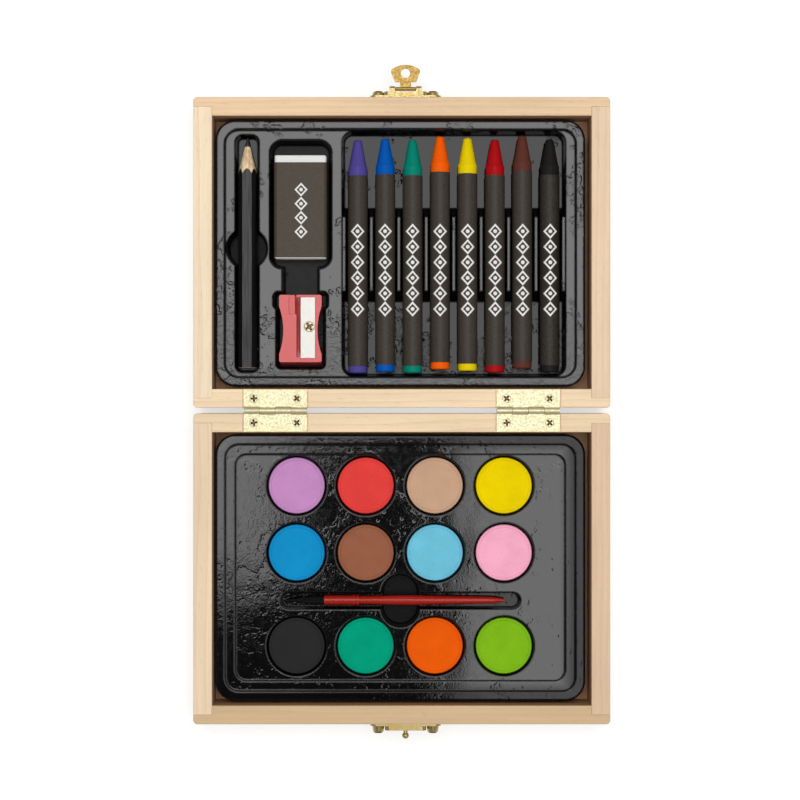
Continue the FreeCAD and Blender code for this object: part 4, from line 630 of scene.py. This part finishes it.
# %% [markdown]
# ## Pencil, eraser and bristles
#
# The pencil is one mesh, but its sharpened cone is bare wood. The cone's radius grows
# evenly from the tip, so a point lies on the cone where its distance from the pencil's
# axis equals that radius. That gives the scalloped edge of the paint for free.


# %%
PENCIL_CONE = 14.2 * MM
LEAD_BARE = 3.6 * MM


def pencil_paint_material():
    material, tree, shader = new_material("pencil_paint", (0.01, 0.01, 0.011, 1), 0.2)
    shader.inputs["Specular IOR Level"].default_value = 0.22
    point = object_point(tree)
    low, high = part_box("pencil_barrel")
    axis_x, axis_z = (low.x + high.x) / 2, (low.z + high.z) / 2
    lead_low, lead_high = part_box("pencil_lead")
    lead_radius = (lead_high.x - lead_low.x) / 2
    cone_foot = high.y - (PENCIL_CONE - LEAD_BARE)
    slope = ((high.x - low.x) / 2 - lead_radius) / (high.y - cone_foot)
    x, y, z = parts_of(tree, point)[:3]
    side = minus(tree, x, axis_x)
    rise = minus(tree, z, axis_z)
    radius = calculate(tree, "SQRT", plus(tree, times(tree, side, side),
                                          times(tree, rise, rise)))
    cone = times(tree, minus(tree, high.y, y), slope)
    cone = plus(tree, cone, lead_radius)
    bare = between(tree, minus(tree, cone, radius), 0.03 * MM, 0.1 * MM, 1.0, 0.0)
    end = calculate(tree, "LESS_THAN", y, low.y + 0.05 * MM)
    bare = calculate(tree, "MAXIMUM", bare, end)
    grain = noise(tree, stretched(tree, point, (1600.0, 90.0, 1600.0)), 1.0, detail=3.0)
    wood = blend_colours(tree, between(tree, grain, 0.35, 0.65), screen_colour(240, 218, 184),
                         screen_colour(204, 168, 124))
    paint = use_group(tree, UNEVEN, Vector=point, Scale=300.0)
    connect(tree, blend_colours(tree, bare, (0.012, 0.012, 0.013, 1), wood),
            shader.inputs["Base Color"])
    streaks = noise(tree, stretched(tree, point, (2400.0, 60.0, 2400.0)), 1.0, detail=3.0)
    glossy = between(tree, streaks, 0.35, 0.65, 0.16, 0.42)
    connect(tree, calculate(tree, "MAXIMUM", glossy, times(tree, bare, 0.75)),
            shader.inputs["Roughness"])
    height = plus(tree, plus(tree, paint["Coarse"], grain), streaks)
    bump(tree, shader, height, 0.05 * MM, 0.6)
    return material


pencil_paint = pencil_paint_material()
pencil_graphite = moulded_plastic("pencil_graphite", screen_colour(58, 58, 62), 0.35)
pencil_graphite.node_tree.nodes["Principled BSDF"].inputs["Metallic"].default_value = 0.4


def eraser_vinyl_material():
    material, tree, shader = new_material("eraser_vinyl", (1, 1, 1, 1), 0.7)
    point = object_point(tree)
    uneven = use_group(tree, UNEVEN, Vector=point, Scale=260.0)
    specks = use_group(tree, SPECKS, Vector=point, Scale=900.0, Share=0.05)
    shade = blend_colours(tree, between(tree, uneven["Fine"], 0.4, 0.7, 0.0, 0.25),
                          screen_colour(228, 229, 227), screen_colour(198, 197, 194))
    shade = blend_colours(tree, times(tree, specks["Mask"], 0.4), shade,
                          screen_colour(120, 118, 116))
    connect(tree, shade, shader.inputs["Base Color"])
    bump(tree, shader, uneven["Fine"], 0.08 * MM, 0.5)
    return material


eraser_vinyl = eraser_vinyl_material()
bristle_hair = moulded_plastic("bristle_hair", screen_colour(10, 9, 8), 0.4, 0.15)
print("pencil, eraser and bristles ready")

# %% [markdown]
# ## Surfaces for the CAD parts
#
# The CAD meshes arrive as loose triangles. Modifiers weld them, merge flat faces, round
# the sharp edges of wood and metal a little and keep the remaining edges crisp; the mesh
# itself stays as it is.

# %%
LOOKS = dict(PINES)
LOOKS.update({
    "paint_tray": paint_tray_plastic, "drawing_tray": drawing_tray_plastic,
    "base_hinge_leaves": leaf_brass, "lid_hinge_leaves": leaf_brass,
    "hinge_pins": pin_brass, "hasp_plate": clasp_brass, "hasp_tab": tab_brass,
    "catch_plate": clasp_brass, "catch_post": clasp_brass,
    "base_hinge_screws": screw_brass, "lid_hinge_screws": screw_brass,
    "hasp_screws": screw_brass, "catch_screws": screw_brass,
    "pencil_barrel": pencil_paint, "pencil_lead": pencil_graphite,
    "eraser_block": eraser_vinyl, "eraser_sleeve": card_sleeve,
    "sharpener_body": sharpener_plastic, "sharpener_blade": blade_steel,
    "sharpener_screw": screw_steel, "brush_handle": brush_plastic,
    "brush_bristles": bristle_hair,
})
LOOKS.update({f"{name}_paint": look for name, look in PIGMENTS.items()})
LOOKS.update({f"{name}_crayon": look for name, look in WAXES.items()})
LOOKS.update({name: black_wrapper_paper if name.startswith("black") else wrapper_paper
              for name in WRAPPED})
ROUNDED = {leaf_brass: 0.12, clasp_brass: 0.2, tab_brass: 0.15, blade_steel: 0.06,
           card_sleeve: 0.1}
ROUNDED.update({board: 0.25 for board in PINES.values()})


def dress(name, material):
    """Gives one CAD node its material and the modifiers that make it render cleanly."""
    part = NODES[name]
    part.data.materials.clear()
    part.data.materials.append(material)
    if part.data.has_custom_normals:
        part.data.attributes.remove(part.data.attributes["custom_normal"])
    part.data.polygons.foreach_set("use_smooth", [True] * len(part.data.polygons))
    weld = part.modifiers.new("weld", "WELD")
    weld.merge_threshold = 0.001 * MM
    flat = part.modifiers.new("merge flat faces", "DECIMATE")
    flat.decimate_type = "DISSOLVE"
    flat.angle_limit = math.radians(0.5)
    if material in ROUNDED:
        rounding = part.modifiers.new("round edges", "BEVEL")
        rounding.width = ROUNDED[material] * MM
        rounding.segments = 2
        rounding.limit_method = "ANGLE"
        rounding.angle_limit = math.radians(40)
        rounding.use_clamp_overlap = True
    crisp = part.modifiers.new("crisp edges", "EDGE_SPLIT")
    crisp.split_angle = math.radians(32)
    part.modifiers.new("flat faces stay flat", "WEIGHTED_NORMAL")


for node_name, look in LOOKS.items():
    dress(node_name, look)
print("dressed", len(LOOKS), "of", len(NODES), "nodes")

# %% [markdown]
# ## Screws with a cross recess
#
# The CAD screws have plain heads. One screw with a cross recess is modelled here, and a
# Geometry Nodes tree sets a copy on every place, turned as the driver happened to leave it.
# `screw_places` reads the places off the CAD screws.


# %%
SCREW_HEAD = 3.3 * MM
SCREW_LENGTH = 6.0 * MM


def cross_outline(arm, half_width):
    """24 points round a plus sign, starting at the middle of the right arm's end."""
    quarter = [(arm, 0), (arm, half_width), ((arm + half_width) / 2, half_width),
               (half_width, half_width), (half_width, (arm + half_width) / 2),
               (half_width, arm)]
    points = []
    for turn in range(4):
        cos, sin = round(math.cos(turn * math.pi / 2)), round(math.sin(turn * math.pi / 2))
        points += [(x * cos - y * sin, x * sin + y * cos) for x, y in quarter]
    return points


def cross_screw(head_radius, length, flat_share=0.92):
    """One countersunk screw along -z from its head, which lies on z = 0."""
    shape = bmesh.new()
    circle = [(math.cos(step * math.pi / 12), math.sin(step * math.pi / 12))
              for step in range(24)]

    def ring(radius, z):
        return [shape.verts.new((x * radius, y * radius, z)) for x, y in circle]

    def bridge(first, second):
        for here in range(24):
            following = (here + 1) % 24
            shape.faces.new((first[here], first[following], second[following], second[here]))

    recess = shape.verts.layers.float.new("recess")
    depth = head_radius * 0.45
    rim = [shape.verts.new((x, y, 0)) for x, y in
           cross_outline(head_radius * 0.8, head_radius * 0.25)]
    lip = [shape.verts.new((x, y, -0.03 * MM)) for x, y in
           cross_outline(head_radius * 0.76, head_radius * 0.22)]
    foot = [shape.verts.new((x, y, -depth)) for x, y in
            cross_outline(head_radius * 0.42, head_radius * 0.12)]
    for vertex in lip + foot:
        vertex[recess] = 1.0
    shape.faces.new(foot)
    edge = ring(head_radius * flat_share, 0)
    bridge(lip, foot)
    bridge(rim, lip)
    bridge(edge, rim)
    shank, thread, turns = head_radius * 0.42, head_radius * 0.52, 9
    outline = [(head_radius, -0.04 * MM), (shank, -(head_radius - shank) - 0.04 * MM)]
    threaded = length - head_radius
    for turn in range(turns):
        z = -head_radius - threaded * turn / turns
        narrow = 1 - 0.5 * turn / turns
        outline += [(thread * narrow, z), (shank * narrow, z - threaded / turns / 2)]
    previous = edge
    for radius, z in outline:
        current = ring(radius, z)
        if radius == head_radius:
            for vertex in current:
                vertex[recess] = 1.0
        bridge(current, previous)
        previous = current
    shape.faces.new(reversed(previous))
    bmesh.ops.recalc_face_normals(shape, faces=shape.faces)
    mesh = bpy.data.meshes.new("cross_screw")
    shape.to_mesh(mesh)
    shape.free()
    screw = bpy.data.objects.new("cross_screw", mesh)
    bpy.context.scene.collection.objects.link(screw)
    return screw


def screw_places(node):
    """(middle of the head, outward direction) of each screw in a CAD node."""
    shape = bmesh.new()
    shape.from_mesh(NODES[node].data)
    bmesh.ops.remove_doubles(shape, verts=shape.verts, dist=0.001 * MM)
    waiting, places = set(shape.verts), []
    while waiting:
        island = {waiting.pop()}
        unvisited = list(island)
        while unvisited:
            vertex = unvisited.pop()
            for link in vertex.link_edges:
                other = link.other_vert(vertex)
                if other in waiting:
                    waiting.discard(other)
                    island.add(other)
                    unvisited.append(other)
        low = Vector([min(v.co[axis] for v in island) for axis in range(3)])
        high = Vector([max(v.co[axis] for v in island) for axis in range(3)])
        size, middle = high - low, (low + high) / 2
        axis = max(range(3), key=lambda index: size[index])
        spread = {}
        for end in (low, high):
            ring = [v.co for v in island if abs(v.co[axis] - end[axis]) < 0.02 * MM]
            spread[end[axis]] = max((co - middle).length for co in ring)
        head = max(spread, key=spread.get)
        outward = Vector((0, 0, 0))
        outward[axis] = 1 if head > middle[axis] else -1
        middle[axis] = head
        places.append((middle, outward))
    shape.free()
    return sorted(places, key=lambda place: (round(place[0].y, 4), place[0].x))


print("hinge screws at", [tuple(round(v / MM, 1) for v in place[0])
                          for place in screw_places("base_hinge_screws")])

# %% [markdown]
# The tree takes points that carry two attributes, `outward` and `turn`, and sets the screw
# on each one. A small random turn from a fixed seed keeps them from looking copied.


# %%
def screw_tree():
    tree = bpy.data.node_groups.new("set_screws", "GeometryNodeTree")
    for label, kind in (("Geometry", "NodeSocketGeometry"), ("Screw", "NodeSocketObject"),
                        ("Wobble", "NodeSocketFloat"), ("Seed", "NodeSocketInt"),
                        ("Material", "NodeSocketMaterial")):
        tree.interface.new_socket(label, in_out="INPUT", socket_type=kind)
    tree.interface.new_socket("Geometry", in_out="OUTPUT", socket_type="NodeSocketGeometry")
    given = tree.nodes.new("NodeGroupInput").outputs
    result = tree.nodes.new("NodeGroupOutput")
    screw = add_node(tree, "GeometryNodeObjectInfo", Object=given["Screw"])
    outward = add_node(tree, "GeometryNodeInputNamedAttribute",
                       {"data_type": "FLOAT_VECTOR"}, Name="outward")
    turn = add_node(tree, "GeometryNodeInputNamedAttribute", {"data_type": "FLOAT"},
                    Name="turn")
    wobble = add_node(tree, "FunctionNodeRandomValue", {"data_type": "FLOAT"})
    low = times(tree, given["Wobble"], -1.0)
    connect(tree, low, wobble.inputs[2])
    connect(tree, given["Wobble"], wobble.inputs[3])
    connect(tree, given["Seed"], wobble.inputs["Seed"])
    angle = plus(tree, turn.outputs["Attribute"], wobble.outputs[1])
    spin = add_node(tree, "FunctionNodeAxisAngleToRotation", Axis=(0, 0, 1), Angle=angle)
    stand = add_node(tree, "FunctionNodeAlignRotationToVector", {"axis": "Z"},
                     Vector=outward.outputs["Attribute"])
    turned = add_node(tree, "FunctionNodeRotateRotation", {"rotation_space": "LOCAL"},
                      Rotation=stand.outputs["Rotation"],
                      Rotate_By=spin.outputs["Rotation"])
    copies = add_node(tree, "GeometryNodeInstanceOnPoints", Points=given["Geometry"],
                      Instance=screw.outputs["Geometry"],
                      Rotation=turned.outputs["Rotation"])
    real = add_node(tree, "GeometryNodeRealizeInstances",
                    Geometry=copies.outputs["Instances"])
    painted = add_node(tree, "GeometryNodeSetMaterial", Geometry=real.outputs["Geometry"],
                       Material=given["Material"])
    connect(tree, painted.outputs["Geometry"], result.inputs["Geometry"])
    return tree


def grown(name, start_mesh, tree, **inputs):
    """A plain mesh piece made by a Geometry Nodes tree from the start mesh."""
    holder = bpy.data.objects.new(name, start_mesh)
    bpy.context.scene.collection.objects.link(holder)
    modifier = holder.modifiers.new(tree.name, "NODES")
    modifier.node_group = tree
    for socket in tree.interface.items_tree:
        label = socket.name.replace(" ", "_")
        if socket.in_out == "INPUT" and label in inputs:
            modifier[socket.identifier] = inputs[label]
    bpy.context.view_layer.update()
    evaluated = holder.evaluated_get(bpy.context.evaluated_depsgraph_get())
    mesh = bpy.data.meshes.new_from_object(evaluated)
    holder.modifiers.remove(modifier)
    holder.data = mesh
    return holder


def screw_set(name, body, screw, metal, turns):
    """The screws of one body; turns lists for each CAD node how far its screws are turned."""
    places, angles = [], []
    for node, degrees in turns.items():
        places += screw_places(node)
        angles += [math.radians(value) for value in degrees]
    points = bpy.data.meshes.new(name)
    points.from_pydata([place[0] for place in places], [], [])
    outward = points.attributes.new("outward", "FLOAT_VECTOR", "POINT")
    outward.data.foreach_set("vector", [value for place in places for value in place[1]])
    turn = points.attributes.new("turn", "FLOAT", "POINT")
    turn.data.foreach_set("value", angles)
    piece = grown(name, points, SET_SCREWS, Screw=screw, Wobble=math.radians(4), Seed=3,
                  Material=metal)
    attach(piece, body)
    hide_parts(*turns)
    return piece


SET_SCREWS = screw_tree()
wood_screw = cross_screw(SCREW_HEAD / 2, SCREW_LENGTH)
base_screws = screw_set("base_cross_screws", "base", wood_screw, screw_brass, {
    "base_hinge_screws": (8, 48, 5, 42), "catch_screws": (20, 65)})
lid_screws = screw_set("lid_cross_screws", "lid", wood_screw, screw_brass, {
    "lid_hinge_screws": (2, 38, 50, 44), "hasp_screws": (10, 52)})
screw_low, screw_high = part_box("sharpener_screw")
small_screw = cross_screw((screw_high.x - screw_low.x) / 2, screw_high.z - screw_low.z,
                          flat_share=0.84)
blade_screw = screw_set("blade_cross_screw", "sharpener", small_screw, screw_steel,
                        {"sharpener_screw": (30,)})
for pattern in (wood_screw, small_screw):
    bpy.data.objects.remove(pattern)
print("screws:", len(base_screws.data.polygons), "and", len(lid_screws.data.polygons), "faces")

# %% [markdown]
# ## Bristles
#
# The tuft is a bundle of hairs that leave the socket together and run to a point. Each hair
# is one straight line that the tree bends: a falling profile draws it to the middle, and a
# noise field gives it a slight wave.


# %%
def tuft_tree():
    tree = bpy.data.node_groups.new("bristle_tuft", "GeometryNodeTree")
    for label, kind in (("Geometry", "NodeSocketGeometry"), ("Hairs", "NodeSocketInt"),
                        ("Length", "NodeSocketFloat"), ("Tuft Radius", "NodeSocketFloat"),
                        ("Hair Radius", "NodeSocketFloat"), ("Seed", "NodeSocketInt"),
                        ("Material", "NodeSocketMaterial")):
        tree.interface.new_socket(label, in_out="INPUT", socket_type=kind)
    tree.interface.new_socket("Geometry", in_out="OUTPUT", socket_type="NodeSocketGeometry")
    given = tree.nodes.new("NodeGroupInput").outputs
    result = tree.nodes.new("NodeGroupOutput")

    def chance(low, high, shift):
        made = add_node(tree, "FunctionNodeRandomValue", {"data_type": "FLOAT"})
        made.inputs[2].default_value, made.inputs[3].default_value = low, high
        connect(tree, plus(tree, given["Seed"], shift), made.inputs["Seed"])
        return made.outputs[1]

    angle = chance(0.0, 2 * math.pi, 1.0)
    reach = times(tree, calculate(tree, "SQRT", chance(0.0, 1.0, 2.0)), given["Tuft Radius"])
    root = add_node(tree, "ShaderNodeCombineXYZ", X=0.0,
                    Y=times(tree, calculate(tree, "COSINE", angle), reach),
                    Z=times(tree, calculate(tree, "SINE", angle), reach))
    roots = add_node(tree, "GeometryNodePoints", Count=given["Hairs"],
                     Position=root.outputs["Vector"])
    line = add_node(tree, "GeometryNodeCurvePrimitiveLine", Start=(0, 0, 0))
    end = add_node(tree, "ShaderNodeCombineXYZ", X=times(tree, given["Length"], -1.0), Y=0.0,
                   Z=0.0)
    connect(tree, end.outputs["Vector"], line.inputs["End"])
    finer = add_node(tree, "GeometryNodeResampleCurve", Curve=line.outputs["Curve"], Count=9)
    longer = add_node(tree, "ShaderNodeCombineXYZ", X=chance(0.86, 1.0, 3.0), Y=1.0, Z=1.0)
    hairs = add_node(tree, "GeometryNodeInstanceOnPoints", Points=roots.outputs[0],
                     Instance=finer.outputs["Curve"], Scale=longer.outputs["Vector"])
    real = add_node(tree, "GeometryNodeRealizeInstances",
                    Geometry=hairs.outputs["Instances"])
    place = parts_of(tree, tree.nodes.new("GeometryNodeInputPosition").outputs[0])
    way = calculate(tree, "DIVIDE", times(tree, place[X], -1.0), given["Length"])
    narrow = add_node(tree, "ShaderNodeMapRange", {"interpolation_type": "SMOOTHSTEP"},
                      Value=way, From_Min=0.35, From_Max=1.0, To_Min=1.0, To_Max=0.12)
    wave = add_node(tree, "ShaderNodeTexNoise", Scale=260.0, Detail=1.0)
    wave_parts = parts_of(tree, wave.outputs["Color"])
    amount = times(tree, way, given["Tuft Radius"])

    def bent(coordinate, pattern):
        swing = times(tree, minus(tree, pattern, 0.5), 0.5)
        drawn_in = times(tree, coordinate, narrow.outputs["Result"])
        return plus(tree, drawn_in, times(tree, swing, amount))

    position = add_node(tree, "ShaderNodeCombineXYZ", X=place[X],
                        Y=bent(place[Y], wave_parts[0]), Z=bent(place[Z], wave_parts[1]))
    moved = add_node(tree, "GeometryNodeSetPosition", Geometry=real.outputs["Geometry"],
                     Position=position.outputs["Vector"])
    section = add_node(tree, "GeometryNodeCurvePrimitiveCircle", Resolution=4,
                       Radius=given["Hair Radius"])
    solid = add_node(tree, "GeometryNodeCurveToMesh", Curve=moved.outputs["Geometry"],
                     Profile_Curve=section.outputs["Curve"], Fill_Caps=True)
    painted = add_node(tree, "GeometryNodeSetMaterial", Geometry=solid.outputs["Mesh"],
                       Material=given["Material"])
    connect(tree, painted.outputs["Geometry"], result.inputs["Geometry"])
    return tree


def bristle_tuft():
    socket_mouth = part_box("brush_handle")[0]
    low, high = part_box("brush_bristles")
    root = Vector((socket_mouth.x + 1.0 * MM, (low.y + high.y) / 2, (low.z + high.z) / 2))
    start = bpy.data.meshes.new("bristle_tuft")
    start.from_pydata([(0, 0, 0)], [], [])
    tuft = grown("bristle_tuft", start, tuft_tree(), Hairs=320, Length=root.x - low.x,
                 Tuft_Radius=(high.y - low.y) / 2 - 0.12 * MM, Hair_Radius=0.09 * MM,
                 Seed=11, Material=bristle_hair)
    tuft.data.transform(Matrix.Translation(root))
    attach(tuft, "brush")
    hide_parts("brush_bristles")
    return tuft


tuft = bristle_tuft()
print("tuft:", len(tuft.data.polygons), "faces")

# %% [markdown]
# ## Floor, light and camera
#
# A pale floor lies under the box. Three softboxes hang above: the glossy trays mirror them
# and show dark bands where a lip turns away from all three. The world adds an even soft
# light; in what the trays mirror it is darker overhead than at the horizon.

# %%
WORLD_FILL = 0.44
FLOOR_COLOUR = (0.94, 0.94, 0.94, 1)
LAMP_HEIGHT = 1.2
CAMERA_PLACE = (-0.0007, 0.0668, 0.780)


def pale_floor():
    """A floor that keeps the box's shadow nearby and fades to white farther away."""
    mesh = bpy.data.meshes.new("floor")
    reach = 3.0
    mesh.from_pydata([(-reach, -reach, 0), (reach, -reach, 0), (reach, reach, 0),
                      (-reach, reach, 0)], [], [(0, 1, 2, 3)])
    floor = bpy.data.objects.new("floor", mesh)
    bpy.context.scene.collection.objects.link(floor)
    floor.location.z = -0.2 * MM
    material, tree, shader = new_material("pale_floor", FLOOR_COLOUR, 0.9)
    shader.inputs["Specular IOR Level"].default_value = 0.0
    path = tree.nodes.new("ShaderNodeLightPath").outputs
    seen = calculate(tree, "MAXIMUM", path["Is Camera Ray"], path["Is Glossy Ray"])
    shader.inputs["Emission Color"].default_value = (1, 1, 1, 1)
    away = add_node(tree, "ShaderNodeVectorMath", {"operation": "LENGTH"})
    connect(tree, object_point(tree), away.inputs[0])
    glow = between(tree, away.outputs["Value"], 0.3, 0.9, 0.62, 1.0, smooth=True)
    connect(tree, times(tree, seen, glow), shader.inputs["Emission Strength"])
    base = blend_colours(tree, seen, FLOOR_COLOUR, (0.45, 0.45, 0.45, 1))
    connect(tree, base, shader.inputs["Base Color"])
    mesh.materials.append(material)
    return floor


def softbox(name, low, high, height, radiance):
    """A lamp facing down that fills the rectangle from low to high, of even brightness."""
    width, depth = high[0] - low[0], high[1] - low[1]
    lamp = bpy.data.lights.new(name, "AREA")
    lamp.shape = "RECTANGLE"
    lamp.size, lamp.size_y = width, depth
    lamp.energy = radiance * math.pi * width * depth
    holder = bpy.data.objects.new(name, lamp)
    holder.location = ((low[0] + high[0]) / 2, (low[1] + high[1]) / 2, height)
    bpy.context.scene.collection.objects.link(holder)
    return holder


def studio_world():
    """White to the camera; in reflections dark overhead and light toward the horizon."""
    world = bpy.data.worlds.new("studio")
    world.use_nodes = True
    tree = world.node_tree
    background = tree.nodes["Background"]
    path = tree.nodes.new("ShaderNodeLightPath").outputs
    upward = parts_of(tree, tree.nodes.new("ShaderNodeTexCoord").outputs["Generated"])[Z]
    reflected = between(tree, upward, 0.35, 0.8, 0.5, 0.04, smooth=True)
    mirror = times(tree, path["Is Glossy Ray"], minus(tree, reflected, WORLD_FILL))
    fill = plus(tree, mirror, WORLD_FILL)
    connect(tree, calculate(tree, "MAXIMUM", fill, path["Is Camera Ray"]),
            background.inputs["Strength"])
    background.inputs["Color"].default_value = (1, 1, 1, 1)
    bpy.context.scene.world = world


pale_floor()
softbox("back_softbox", (-0.40, 0.04), (0.40, 0.60), LAMP_HEIGHT, 4.6)
softbox("side_softbox", (0.06, -0.50), (0.50, 0.036), LAMP_HEIGHT, 3.6)
softbox("corner_softbox", (-0.50, -0.12), (-0.11, 0.036), LAMP_HEIGHT, 3.6)
studio_world()

camera = bpy.data.objects.new("camera", bpy.data.cameras.new("camera"))
camera.data.lens = 86.5
camera.data.sensor_width = 36.0
camera.data.clip_start = 0.05
camera.location = CAMERA_PLACE
bpy.context.scene.collection.objects.link(camera)
bpy.context.scene.camera = camera
bpy.context.scene.view_settings.view_transform = "Standard"
print("camera at", tuple(round(v, 4) for v in camera.location))
